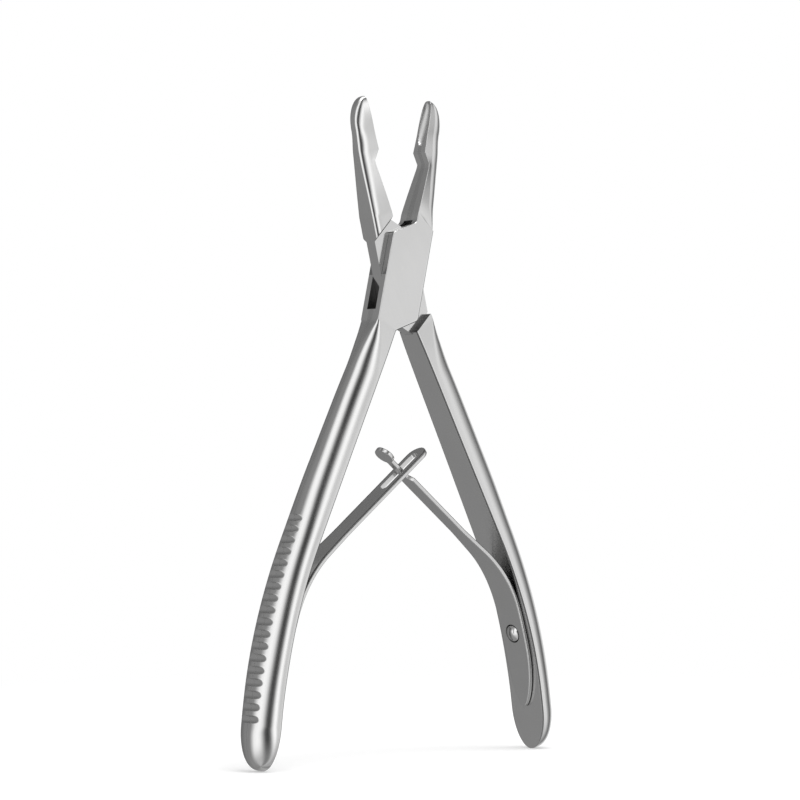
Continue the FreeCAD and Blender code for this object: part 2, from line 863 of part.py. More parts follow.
def screw(name, side, turned):
    """Domed countersunk screw with a straight slot, turned about its own z axis."""
    body = doc.addObject("PartDesign::Body", name + "_blank")
    plane = [feature for feature in body.Origin.OriginFeatures if feature.Role == "XZ_Plane"][0]
    sketch = body.newObject("Sketcher::SketchObject", name + "_profile")
    sketch.AttachmentSupport = [(plane, "")]
    sketch.MapMode = "FlatFace"
    head = size("screw_head_diameter") / 2
    shank = size("screw_shank_diameter") / 2
    dome = size("screw_dome")
    rim = Vector(head, 0, 0)
    under = Vector(shank, -size("screw_head_height"), 0)
    end = Vector(shank, -size("screw_length"), 0)
    axis_end = Vector(0, -size("screw_length"), 0)
    crown = Vector(0, dome, 0)
    for first, last in ((rim, under), (under, end), (end, axis_end), (axis_end, crown)):
        sketch.addGeometry(Part.LineSegment(first, last), False)
    bow = (dome ** 2 + head ** 2) / (2 * dome)
    circle = Part.Circle(Vector(0, dome - bow, 0), Vector(0, 0, 1), bow)
    sketch.addGeometry(Part.ArcOfCircle(circle, math.acos(head / bow), math.pi / 2), False)
    for line in range(3):
        sketch.addConstraint(Sketcher.Constraint("Coincident", line, 2, line + 1, 1))
    sketch.addConstraint(Sketcher.Constraint("Coincident", 3, 2, 4, 2))
    sketch.addConstraint(Sketcher.Constraint("Coincident", 4, 1, 0, 1))
    sketch.addConstraint(Sketcher.Constraint("Vertical", 1))
    sketch.addConstraint(Sketcher.Constraint("Horizontal", 2))
    sketch.addConstraint(Sketcher.Constraint("PointOnObject", 0, 1, -1))
    sketch.addConstraint(Sketcher.Constraint("PointOnObject", 3, 1, -2))
    sketch.addConstraint(Sketcher.Constraint("PointOnObject", 3, 2, -2))
    sketch.addConstraint(Sketcher.Constraint("PointOnObject", 4, 3, -2))
    dimensions = [
        ("DistanceX", (-1, 1, 0, 1), head, "sizes.screw_head_diameter / 2"),
        ("DistanceX", (-1, 1, 1, 1), shank, "sizes.screw_shank_diameter / 2"),
        ("DistanceY", (1, 1, -1, 1), -under.y, "sizes.screw_head_height"),
        ("DistanceY", (2, 2, -1, 1), -end.y, "sizes.screw_length"),
        ("DistanceY", (-1, 1, 3, 2), dome, "sizes.screw_dome"),
    ]
    for kind, places, value, formula in dimensions:
        index = sketch.addConstraint(Sketcher.Constraint(kind, *places, value))
        sketch.setExpression("Constraints[%d]" % index, formula)
    turning = body.newObject("PartDesign::Revolution", name + "_turning")
    turning.Profile = sketch
    turning.ReferenceAxis = (sketch, ["V_Axis"])
    turning.Angle = 360
    slot = tied(
        "Part::Box", name + "_slot",
        Length="sizes.screw_slot_width",
        Width="2 * sizes.screw_head_diameter",
        Height="sizes.screw_slot_depth + sizes.screw_dome",
        Placement__Base__x="-sizes.screw_slot_width / 2",
        Placement__Base__y="-sizes.screw_head_diameter",
        Placement__Base__z="sizes.screw_dome - sizes.screw_slot_depth",
    )
    item = boolean("Part::Cut", name, [body, slot])
    item.Placement = open_placement(turned) * screw_seat(side, False)
    return item


def build():
    """Makes every sub-part, at rest with the tool standing open."""
    slotted = Leaf(-1, size("slotted_blade_angle"), size("slotted_blade_width"))
    headed = Leaf(1, size("headed_blade_angle"), size("headed_blade_width"))
    for name, leaf, turned in (("slotted spring", slotted, 1), ("headed spring", headed, -1)):
        hinge = open_placement(turned).multVec(leaf.hinge_point())
        print("%s bends about x %.4f, y %.4f, z %.4f" % (name, hinge.x, hinge.y, hinge.z))
    return [
        box_arm(),
        tongue_arm(),
        pivot_pin(),
        foot("slotted_spring_foot", -1, slotted, 1),
        slotted_blade(slotted),
        foot("headed_spring_foot", 1, headed, -1),
        headed_blade(headed),
        screw("slotted_spring_screw", -1, 1),
        screw("headed_spring_screw", 1, -1),
    ]


def check_and_export(items):
    """Stops on a failed object or a bad solid, then writes one file for each sub-part."""
    doc.recompute()
    for item in doc.Objects:
        if "Invalid" in item.State or "Error" in item.State:
            raise RuntimeError("%s did not compute: %s" % (item.Name, item.State))
    for item in items:
        shape = item.Shape
        if shape.isNull() or not shape.isValid() or len(shape.Solids) != 1:
            raise RuntimeError("%s has no single sound solid" % item.Label)
    os.makedirs("parts", exist_ok=True)
    for item in items:
        item.Shape.exportStep("parts/%s.step" % item.Label)
        box = item.Shape.BoundBox
        print("%s volume %.1f, x %.2f to %.2f, y %.2f to %.2f, z %.2f to %.2f" % (
            item.Label, item.Shape.Volume, box.XMin, box.XMax, box.YMin, box.YMax, box.ZMin, box.ZMax,
        ))


check_and_export(build())
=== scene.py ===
import math

import bmesh
import bpy
import numpy as np
from mathutils import Matrix, Vector


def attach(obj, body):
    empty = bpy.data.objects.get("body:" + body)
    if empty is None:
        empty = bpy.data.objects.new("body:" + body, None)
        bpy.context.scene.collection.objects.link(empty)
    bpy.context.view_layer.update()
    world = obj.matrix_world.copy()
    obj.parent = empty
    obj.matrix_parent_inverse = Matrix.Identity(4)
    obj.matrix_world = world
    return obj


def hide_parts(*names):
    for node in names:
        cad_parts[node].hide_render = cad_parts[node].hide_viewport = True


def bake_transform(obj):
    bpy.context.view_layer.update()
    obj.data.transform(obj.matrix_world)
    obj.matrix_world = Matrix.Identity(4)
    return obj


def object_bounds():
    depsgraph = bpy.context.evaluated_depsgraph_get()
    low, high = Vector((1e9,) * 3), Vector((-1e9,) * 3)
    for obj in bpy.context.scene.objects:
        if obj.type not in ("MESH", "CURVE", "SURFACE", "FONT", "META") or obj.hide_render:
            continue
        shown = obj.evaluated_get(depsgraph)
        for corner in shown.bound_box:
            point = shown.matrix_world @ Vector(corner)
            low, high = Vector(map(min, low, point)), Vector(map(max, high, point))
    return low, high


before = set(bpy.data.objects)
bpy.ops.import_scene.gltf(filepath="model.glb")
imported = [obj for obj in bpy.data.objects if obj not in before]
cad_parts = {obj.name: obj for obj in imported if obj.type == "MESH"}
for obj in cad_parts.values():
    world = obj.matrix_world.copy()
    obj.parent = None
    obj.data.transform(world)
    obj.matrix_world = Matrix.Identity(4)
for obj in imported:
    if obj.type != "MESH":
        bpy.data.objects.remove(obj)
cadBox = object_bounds()
print("frame loaded")

# Shapes are worked out in millimetres with the tool closed, its pin at x = z = 0 and its middle plane at
# y = 0. Each arm is then turned open and moved into the frame, in metres.
tool = {
    "boxThickness": 7.1,
    "openingAngle": 26.6,
    "tongueThickness": 3.35,
    "tongueSideGap": 0.05,
}
millimetre = 0.001
halfBox = tool["boxThickness"] / 2


def sine(angle):
    return np.sin(np.radians(angle))


def cosine(angle):
    return np.cos(np.radians(angle))


def openUp(points, turned):
    # Closed arm in millimetres to open arm in metres: a turn about the pin, then half a box back in y.
    points = np.asarray(points, float)
    angle = turned * tool["openingAngle"] / 2
    x, y, z = points[..., 0], points[..., 1], points[..., 2]
    opened = [x * cosine(angle) + z * sine(angle), y - halfBox, z * cosine(angle) - x * sine(angle)]
    return np.stack(opened, axis=-1) * millimetre


def eased(knots, place):
    # Smooth value along (place, value) knots: cubic pieces whose slope at a knot is the harmonic mean
    # of the slopes of the two runs beside it, or zero at a turn, so that nothing overshoots.
    places, values = np.array(knots, float).T
    rates = np.diff(values) / np.diff(places)
    product, total = rates[:-1] * rates[1:], rates[:-1] + rates[1:]
    inner = np.where(product > 0, 2 * product / np.where(total == 0, 1, total), 0)
    slopes = np.concatenate([rates[:1], inner, rates[-1:]])
    place = np.clip(place, places[0], places[-1])
    piece = np.clip(np.searchsorted(places, place, side="right") - 1, 0, len(rates) - 1)
    span = places[piece + 1] - places[piece]
    t = (place - places[piece]) / span
    return ((2 * t ** 3 - 3 * t ** 2 + 1) * values[piece]
            + (t ** 3 - 2 * t ** 2 + t) * span * slopes[piece]
            + (3 * t ** 2 - 2 * t ** 3) * values[piece + 1]
            + (t ** 3 - t ** 2) * span * slopes[piece + 1])


def newMesh(name, vertices, faces, materials, indices=None):
    mesh = bpy.data.meshes.new(name)
    mesh.from_pydata(np.asarray(vertices).reshape(-1, 3).tolist(), [], faces)
    for material in materials:
        mesh.materials.append(material)
    if indices is not None:
        mesh.polygons.foreach_set("material_index", np.asarray(indices, dtype=np.int32))
    piece = bpy.data.objects.new(name, mesh)
    bpy.context.scene.collection.objects.link(piece)
    work = bmesh.new()
    work.from_mesh(mesh)
    bmesh.ops.remove_doubles(work, verts=work.verts, dist=1e-8)
    bmesh.ops.recalc_face_normals(work, faces=work.faces)
    work.to_mesh(mesh)
    work.free()
    return piece


def tube(name, rings, materials, columnMaterial=None):
    # Closed skin through rings of points (rows, columns, xyz): a quad between each point, the next one
    # of its ring and the two below them, and a flat cap over the first and the last ring.
    rows, columns = rings.shape[:2]
    row = np.arange(rows - 1)[:, None]
    column = np.arange(columns)[None, :]
    after = (column + 1) % columns
    quads = np.stack([row * columns + column, row * columns + after,
                      (row + 1) * columns + after, (row + 1) * columns + column], axis=-1).reshape(-1, 4)
    faces = quads.tolist()
    faces += [list(range(columns))[::-1], list(range((rows - 1) * columns, rows * columns))]
    if columnMaterial is None:
        columnMaterial = np.zeros(columns, int)
    finishes = np.broadcast_to(columnMaterial, (rows - 1, columns))
    indices = np.concatenate([finishes.ravel(), [finishes[0, 0], finishes[-1, 0]]])
    return newMesh(name, rings, faces, materials, indices)


def prism(name, outline, low, high, turned, materials, finish=0):
    # Straight plate over an outline of (x, z) between two levels of y, all in one finish.
    outline = np.asarray(outline, float)
    x, z = outline.T
    levels = [np.column_stack([x, np.full(len(outline), y), z]) for y in (low, high)]
    return tube(name, openUp(np.stack(levels), turned), materials, np.full(len(outline), finish))


def finished(piece, others=(), join="DIFFERENCE", sharpFrom=32):
    # Cuts or joins solids, keeps the result as plain mesh, and smooths it up to the angle at which an
    # edge stays sharp.
    for other in others:
        step = piece.modifiers.new("solid", "BOOLEAN")
        step.operation = join
        step.solver = "EXACT"
        step.object = other
    if piece.modifiers:
        whole = piece.evaluated_get(bpy.context.evaluated_depsgraph_get())
        mesh = bpy.data.meshes.new_from_object(whole)
        piece.modifiers.clear()
        piece.data = mesh
    for other in others:
        bpy.data.objects.remove(other, do_unlink=True)
    piece.data.polygons.foreach_set("use_smooth", np.ones(len(piece.data.polygons), bool))
    piece.data.set_sharp_from_angle(angle=math.radians(sharpFrom))
    return piece


# Shader maths

class Wire:
    # A socket with arithmetic: each operation adds one Math node.

    def __init__(self, tree, socket):
        self.tree = tree
        self.socket = socket

    def join(self, operation, first, second=None, third=None):
        node = self.tree.nodes.new("ShaderNodeMath")
        node.operation = operation
        for index, value in enumerate((first, second, third)):
            if value is None:
                continue
            if isinstance(value, Wire):
                self.tree.links.new(value.socket, node.inputs[index])
            else:
                node.inputs[index].default_value = value
        return Wire(self.tree, node.outputs[0])

    def __add__(self, other):
        return self.join("ADD", self, other)

    def __sub__(self, other):
        return self.join("SUBTRACT", self, other)

    def __rsub__(self, other):
        return self.join("SUBTRACT", other, self)

    def __mul__(self, other):
        return self.join("MULTIPLY", self, other)

    def __truediv__(self, other):
        return self.join("DIVIDE", self, other)

    def clipped(self):
        node = self.tree.nodes.new("ShaderNodeClamp")
        self.tree.links.new(self.socket, node.inputs[0])
        return Wire(self.tree, node.outputs[0])

    def node(self, kind, settings=None, sockets=None, output=0):
        # Any other node, from its type, its settings and the values or links of its sockets.
        node = self.tree.nodes.new(kind)
        for key, value in (settings or {}).items():
            if key == "stops":
                fillRamp(node.color_ramp, value)
            else:
                setattr(node, key, value)
        for key, value in (sockets or {}).items():
            if isinstance(value, Wire):
                self.tree.links.new(value.socket, node.inputs[key])
            else:
                node.inputs[key].default_value = value
        return Wire(self.tree, node.outputs[output])


def fillRamp(ramp, stops):
    while len(ramp.elements) < len(stops):
        ramp.elements.new(0.5)
    for element, (place, value) in zip(ramp.elements, stops):
        element.position = place
        element.color = (value, value, value, 1)


# Arms

# "grooveLip" is how far beside a groove its last row lies, "grooveClear" how far from the grooves the
# plain rows keep, and "uncut" a depth that no handle reaches.
handle = {
    "crotchHeight": 13.8, "crotchInset": -0.1, "lean": 13.25, "straight": 60.8,
    "bowRadius": 134.0, "bowTurn": 19.4, "tail": 13.0, "endRound": 11.0, "endFullness": 0.6,
    "bevel": 0.5, "neckDepth": 6.6, "shankDepth": 7.2, "swellDepth": 7.6, "gripDepth": 6.9,
    "palmDepth": 6.2, "shankWidth": 7.9, "swellWidth": 9.3, "gripWidth": 10.9, "palmWidth": 12.5,
    "grooveRadius": 1.0, "grooveDepth": 0.75, "groovePitch": 2.93, "grooveStart": 56.8,
    "grooves": 18, "grooveLip": 0.04, "grooveClear": 0.3, "rowStep": 0.8, "uncut": 99,
}
# "nearPlaces" and "farPlaces" say where the outline's corners fall on its way up, "rows" where the
# rows across it lie, and "bevelFade" how fast the handle's bevel gives way to the box's edge.
box = {
    "halfWidth": 6.5, "endReach": 12.0, "endLean": 32.6, "slotLean": 39.8,
    "shoulderGap": 0.4, "shoulderRise": 1.3, "tongueEndGap": 0.45, "tonguePlay": 0.01,
    "edge": 0.22, "nearEdge": 0.4, "bevelFade": 10, "cornerSpan": 0.02,
    "nearPlaces": (0.05, 0.27), "farPlaces": (0.75, 0.95),
    "rows": ((0.01, 1, 40), (0.23, 0.31, 17), (0.71, 0.79, 17), (0.91, 1, 13)),
    "cutterReach": 40, "cutterHeight": 8, "gripShoulderRise": 0.001,
    "sideShadeFacing": -0.8, "sideShadeFrom": 0.3, "sideShadeTo": 13.5,
}
# "rootShare" and "waistShare" are shares of the box's thickness, "waistPlace" a share of the way from
# the root to the heel. Entries by side are for the left jaw (-1) and the right one (1).
jaw = {
    "length": 47.2, "rootHeight": 17.1, "heelHeight": 33.3, "noseLength": 8.0, "sunk": 0.25,
    "rootInset": 0.5, "rootBend": 0.5, "rootDrop": 3.4, "dropRun": 7.0, "dropPower": 1.5,
    "rootDepth": 6.5, "heelDepth": 5.75, "noseDepth": 5.1, "leastDepth": 0.05,
    "rootShare": 0.99, "waistShare": 0.93, "waistPlace": 0.3, "heelWidth": 4.9, "noseWidth": 4.3,
    "taper": {-1: 0.95, 1: 0.8}, "rootTaper": {-1: 0.98, 1: 0.87}, "noseFullness": 0.55,
    "cornerDeep": 2.7, "cornerWide": 1.3, "rootCorner": {-1: 0.75, 1: 0.1},
    "shoulderCorner": 0.8, "shoulderHeight": 4, "faceEdge": 0.12,
    "gap": 0.08, "relief": 2.1, "reliefRun": 1.0, "ramp": 2.6,
    "cupLength": 11.6, "cupDepth": 1.3, "cupRim": 0.35, "cupFullness": 0.5,
    "hollowPower": 1.6, "leastHollow": 0.3, "lowStep": 0.5, "cupStep": 0.22,
}
bowRun = handle["bowRadius"] * math.radians(handle["bowTurn"])
handleLength = handle["straight"] + bowRun + handle["tail"]
palm = handleLength - handle["endRound"]


def innerFace(station):
    # Inner face of a handle, from the crotch down: a straight, a large arc back, and a straight tail.
    # Gives x, z and the lean of the face at each station.
    station = np.asarray(station, float)
    lean, radius = handle["lean"], handle["bowRadius"]
    first = np.minimum(station, handle["straight"])
    turned = np.clip((station - handle["straight"]) / bowRun, 0, 1) * handle["bowTurn"]
    last = np.maximum(station - handle["straight"] - bowRun, 0)
    x = handle["crotchInset"] + first * sine(lean) + radius * (cosine(lean - turned) - cosine(lean))
    z = -handle["crotchHeight"] - first * cosine(lean) - radius * (sine(lean) - sine(lean - turned))
    return x + last * sine(lean - turned), z - last * cosine(lean - turned), lean - turned


def handleTables():
    # Knots of a handle's depth, width, cheek and back half width along its stations, most of them at
    # shares of the straight run.
    s, bevel, neck = handle["straight"], handle["bevel"], tool["boxThickness"]
    depths = [(0, handle["neckDepth"]), (0.12 * s, handle["shankDepth"]),
              (0.4 * s, handle["swellDepth"]), (0.7 * s, handle["swellDepth"]),
              (1.08 * s, handle["gripDepth"]), (palm, handle["palmDepth"]),
              (handleLength, handle["palmDepth"])]
    widths = [(0, neck), (0.12 * s, handle["shankWidth"]), (0.6 * s, handle["swellWidth"]),
              (1.08 * s, handle["gripWidth"]), (0.9 * palm, handle["palmWidth"]),
              (handleLength, handle["palmWidth"])]
    cheeks = [(0, handle["neckDepth"] - bevel / 2), (0.1 * s, handle["neckDepth"] / 2),
              (0.25 * s, 2 * bevel), (handleLength, 1.5 * bevel)]
    backs = [(0, neck / 2 - bevel / 2), (0.1 * s, neck / 5), (0.25 * s, bevel), (handleLength, bevel)]
    return depths, widths, cheeks, backs


# Where the columns of a ring lie on each of its runs: shares of a straight, or degrees of a curve.
flatSteps = np.array([0.0, 0.5, 0.94])
cornerSteps = np.linspace(0, 90, 7)
cheekSteps = np.array([0.03, 0.35, 0.65, 0.97])
backSteps = np.linspace(0, 90, 29)
rimSteps = np.array([0.3, 1.0])
cupSteps = np.linspace(90, 0, 10)[1:]


def rungs(near, far, nearHalf, farHalf, nearCorner, farCorner, cupWide, cupDeep, cap=None):
    # Rings across an arm, each on a rung from a near point to a far point of the outline.
    # Going round the upper half: the near flat, a quarter ellipse to the cheek, the straight cheek, a
    # quarter ellipse to the far flat, and there a rim and an oval hollow. At the sine of an angle
    # across it the hollow is as deep as cupDeep times a power of the cosine of that angle. The lower
    # half mirrors the upper one. A corner is its reach in depth and its reach across, and cap is a
    # depth that nothing passes.
    depth = np.linalg.norm(far - near, axis=-1)[:, None]
    nearHalf, farHalf = np.reshape(nearHalf, (-1, 1)), np.reshape(farHalf, (-1, 1))
    cupWide, cupDeep = np.reshape(cupWide, (-1, 1)), np.reshape(cupDeep, (-1, 1))
    nu, nv = [np.reshape(v, (-1, 1)) for v in nearCorner]
    fu, fv = [np.reshape(v, (-1, 1)) for v in farCorner]
    nearFlat, farFlat = nearHalf - nv, farHalf - fv
    wide = np.maximum(cupWide, jaw["leastHollow"] * farFlat)
    across, out = [], []
    across.append(nearFlat * flatSteps)
    out.append(0 * nearFlat * flatSteps)
    across.append(nearFlat + nv * sine(cornerSteps))
    out.append(nu * (1 - cosine(cornerSteps)))
    across.append(nearHalf + (farHalf - nearHalf) * cheekSteps)
    out.append(nu + (depth - fu - nu) * cheekSteps)
    across.append(farFlat + fv * cosine(backSteps))
    out.append(depth - fu + fu * sine(backSteps))
    across.append(farFlat + (wide - farFlat) * rimSteps)
    out.append(depth + 0 * rimSteps)
    across.append(wide * sine(cupSteps))
    out.append(depth - cupDeep * cosine(cupSteps) ** jaw["hollowPower"])
    across, out = np.concatenate(across, axis=1), np.concatenate(out, axis=1)
    if cap is not None:
        out = np.minimum(out, np.reshape(cap, (-1, 1)))
    across = np.concatenate([across, -across[:, -2:0:-1]], axis=1)
    out = np.concatenate([out, out[:, -2:0:-1]], axis=1)
    way = (far - near) / depth
    x = near[:, :1] + way[:, :1] * out
    z = near[:, 1:] + way[:, 1:] * out
    return np.stack([x, across, z], axis=-1)


flatColumns = len(flatSteps) + 1
runs = (flatSteps, cornerSteps, cheekSteps, backSteps, rimSteps, cupSteps)
halfColumns = sum(len(run) for run in runs)
ringColumns = 2 * halfColumns - 2


def handleRings(side, start):
    # Handle from a start station to its rounded end, whose depth and width shrink with the root of
    # one less the share of the end squared. Its far side is cut back over each groove to the
    # cutter's centre less the root of its radius squared less the distance from it squared.
    radius, pitch = handle["grooveRadius"], handle["groovePitch"]
    centres = handle["grooveStart"] + pitch * np.arange(handle["grooves"])
    swing = math.degrees(math.acos(1 - handle["grooveDepth"] / radius))
    inside = radius * sine(np.linspace(-swing, swing, 11))
    edge = radius * sine(swing)
    lip = edge + handle["grooveLip"]
    offsets = np.concatenate([[-lip], inside, [lip, pitch / 2]])
    grip = (centres[:, None] + offsets).ravel()
    plain = np.arange(start, palm, handle["rowStep"])
    above = plain < centres[0] - edge - handle["grooveClear"]
    below = plain > centres[-1] + pitch / 2 + handle["grooveClear"]
    plain = plain[above | below]
    end = palm + handle["endRound"] * sine(np.linspace(0, 88.5, 26))
    stations = np.sort(np.concatenate([[start], grip, plain[1:], end]))
    x, z, lean = innerFace(stations)
    gone = np.maximum(stations - palm, 0) / handle["endRound"]
    share = np.sqrt(np.maximum(1 - gone ** 2, 0))
    depthShare = share ** handle["endFullness"]
    depths, widths, cheeks, backs = handleTables()
    depth = eased(depths, stations)
    half = eased(widths, stations) * share / 2
    flat = eased(cheeks, stations) * depthShare
    back = eased(backs, stations) * share
    bevel = handle["bevel"] * share
    beyond = np.abs(stations[:, None] - centres)
    wall = np.sqrt(np.maximum(radius ** 2 - beyond ** 2, 0))
    floor = depth[:, None] + radius - handle["grooveDepth"] - wall
    limit = np.where(beyond < radius, floor, handle["uncut"]).min(axis=1)
    depth = depth * depthShare
    near = np.stack([side * x, z], axis=-1)
    far = near + np.stack([side * cosine(lean), sine(lean)], axis=-1) * depth[:, None]
    none = 0 * depth
    backCorner = (depth - flat, half - back)
    return rungs(near, far, half, half, (bevel, bevel), backCorner, none, none, limit)


def onLine(reach, lean, x):
    # Height at x of a line at a distance "reach" from the pin that rises to +X at "lean".
    return (reach + x * sine(lean)) / cosine(lean)


def alongKnots(knots, t, span):
    # Point at t along (t, x, z) knots joined by straights. Each corner is rounded by the mean of the
    # points within a span of t.
    places, xs, zs = np.array(knots, float).T
    reach = np.minimum(span, np.minimum(t, 1 - t))[:, None] * np.linspace(-1, 1, 9)
    spread = t[:, None] + reach
    return np.stack([np.interp(spread, places, v).mean(axis=1) for v in (xs, zs)], axis=-1)


def boxRings(side, start):
    # The full box of the arm whose handle is on "side": rungs across its outline from the top of the
    # handle to the root of the jaw on the other side.
    x, z, lean = innerFace(start)
    depth = eased(handleTables()[0], start)
    reach, tilt, half = box["endReach"], box["endLean"], box["halfWidth"]
    crotch = handle["bevel"]
    foot, lowCorner = box["nearPlaces"]
    highCorner, bend = box["farPlaces"]
    near = [(0, -x, z), (foot, -x + crotch * sine(tilt), z + crotch),
            (lowCorner, half, -onLine(reach, tilt, -half)),
            (1, half, jaw["rootHeight"] - jaw["rootDrop"])]
    far = [(0, -x - depth * cosine(lean), z + depth * sine(lean)),
           (highCorner, -half, onLine(reach, tilt, -half)),
           (bend, jaw["rootBend"], onLine(reach, tilt, jaw["rootBend"])),
           (1, jaw["rootInset"], jaw["rootHeight"])]
    t = np.unique(np.concatenate([np.linspace(*run) for run in box["rows"]]))
    near, far = alongKnots(near, t, box["cornerSpan"]), alongKnots(far, t, box["cornerSpan"])
    near[:, 0] *= -side
    far[:, 0] *= -side
    same = np.full(len(t), halfBox)
    edge = np.full(len(t), box["edge"])
    kept = np.clip(1 - box["bevelFade"] * t, 0, 1)
    bevel = box["nearEdge"] + (handle["bevel"] - box["nearEdge"]) * kept
    return rungs(near, far, same, same, (bevel, bevel), (edge, edge), 0 * t, 0 * t)


def jawRings(side, start, drop):
    # A jaw from a start height up to its rounded nose. Its near side is the back, its far side the
    # mating face, set back below the heel and hollowed to an oval cup in the nose. "drop" is how far
    # the root rung falls from the mating face to the back.
    root, heel, tip = jaw["rootHeight"], jaw["heelHeight"], jaw["length"]
    nose = tip - jaw["noseLength"]
    end = heel - jaw["ramp"]
    # rows lie closer together over the relief, its ramp, the cup and the round of the nose
    relieved = end - jaw["reliefRun"]
    heights = np.unique(np.round(np.concatenate([
        np.arange(start, relieved, jaw["lowStep"]), np.linspace(relieved - 0.3, end, 12),
        np.linspace(end, heel, 14), np.arange(heel + 0.05, nose, jaw["cupStep"]),
        nose + jaw["noseLength"] * sine(np.linspace(0, 88.3, 34))]), 5))
    # the nose shrinks with the root of one less its share squared
    gone = np.maximum(heights - nose, 0) / jaw["noseLength"]
    share = np.sqrt(np.maximum(1 - gone ** 2, 0))
    depth = eased([(root, jaw["rootDepth"]), (heel, jaw["heelDepth"]), (nose, jaw["noseDepth"]),
                   (tip, jaw["noseDepth"])], heights)
    waist = root + jaw["waistPlace"] * (heel - root)
    thick, taper = tool["boxThickness"], jaw["taper"][side]
    face = eased([(root, jaw["rootShare"] * thick), (waist, jaw["waistShare"] * thick),
                  (heel, jaw["heelWidth"]), (nose, jaw["noseWidth"]), (tip, jaw["noseWidth"])], heights)
    back = eased([(root, jaw["rootTaper"][side] * thick), (waist, jaw["waistShare"] * taper * thick),
                  (heel, taper * jaw["heelWidth"]), (nose, taper * jaw["noseWidth"]),
                  (tip, taper * jaw["noseWidth"])], heights)
    rise = [(root, jaw["rootCorner"][side]), (root + jaw["shoulderHeight"], jaw["shoulderCorner"]),
            (heel, 1.0), (tip, 1.0)]
    corner = eased(rise, heights) * share
    inset = np.interp(heights, [root, relieved, end, heel],
                      [jaw["rootInset"], jaw["relief"], jaw["relief"], jaw["gap"]])
    outer = jaw["gap"] + (depth - jaw["gap"]) * share
    # the back falls most at the root, by a power of what is left of the run
    fall = drop * np.clip(1 - (heights - root) / jaw["dropRun"], 0, 1) ** jaw["dropPower"]
    near = np.stack([side * outer, heights - fall], axis=-1)
    far = np.stack([side * np.minimum(inset, outer - jaw["leastDepth"]), heights], axis=-1)
    # the cup's width and depth follow a power of one less the square of the way from its middle
    half = jaw["cupLength"] / 2
    swing = np.clip((heights - (tip - jaw["cupRim"] - half)) / half, -1, 1)
    cupShare = (1 - swing ** 2) ** jaw["cupFullness"]
    faceEdge = jaw["faceEdge"] * share
    full = share ** jaw["noseFullness"]
    # where the face is set back it is as wide as the straight cheek is there
    face = face + (back - face) * (inset - jaw["gap"]) / depth
    return rungs(near, far, back * full / 2, face * full / 2,
                 (jaw["cornerDeep"] * corner, jaw["cornerWide"] * corner), (faceEdge, faceEdge),
                 (face / 2 - jaw["cupRim"]) * cupShare, jaw["cupDepth"] * cupShare)


def crotchStart():
    # Station where the box's sloping lower end meets the handle's inner face, and the gap beyond it.
    # Each round moves it by the height still missing times the cosine of the slope's lean over the
    # cosine of the angle between the two.
    station = 0.0
    for attempt in range(40):
        x, z = innerFace(station)[:2]
        drop = -onLine(box["endReach"], box["endLean"], x) - z
        station -= drop * cosine(box["endLean"]) / cosine(box["endLean"] - handle["lean"])
    return float(station) + box["shoulderGap"]


def shoulderCutters(turned, rise, steels):
    # Two solids that free the cheeks from the pin out to the shoulder line. Their ends slope over
    # "rise", and the slope takes dark steel as painted shade.
    reach, lean = box["endReach"] + box["shoulderGap"], box["endLean"]
    inner, top, spread = tool["tongueThickness"] / 2, box["cutterHeight"], box["cutterReach"]
    section = [(0, inner), (reach, inner), (reach + rise, halfBox), (reach + rise, top), (0, top)]
    up, level = np.array(section).T
    ends = []
    for run in (-spread, spread):
        ends.append((turned * (-up * sine(lean) + run * cosine(lean)),
                     turned * (up * cosine(lean) + run * sine(lean))))
    # the sloping face is painted shade
    finish = np.array([polished, paintedShadeFinish, polished, polished, polished])
    cutters = []
    for sign in (1, -1):
        rings = np.stack([np.stack([x, sign * level, z], axis=-1) for x, z in ends])
        cutters.append(tube("cutter", openUp(rings, -1), steels, finish))
    return cutters


# Finishes of an arm, in the order of its materials. The fourth and fifth are dark steels that stand for
# painted shade: in crevices and slots, and on the box's side beside the tongue.
polished, satin, hollow, paintedShadeFinish, paintedSideShade = range(5)


def finishColumns(edgeShadeColumns):
    # Finish by column of a ring: satin on the inner flat, a dark line of some columns on the inner
    # edge as painted shade along the crevice, the ground cup, and polished steel elsewhere. The lower
    # half mirrors the upper one.
    columns = np.full(ringColumns, polished)
    columns[:flatColumns] = satin
    columns[flatColumns:flatColumns + edgeShadeColumns] = paintedShadeFinish
    columns[halfColumns - len(cupSteps):halfColumns] = hollow
    columns[halfColumns - 1:] = columns[:halfColumns - 1][::-1]
    return columns


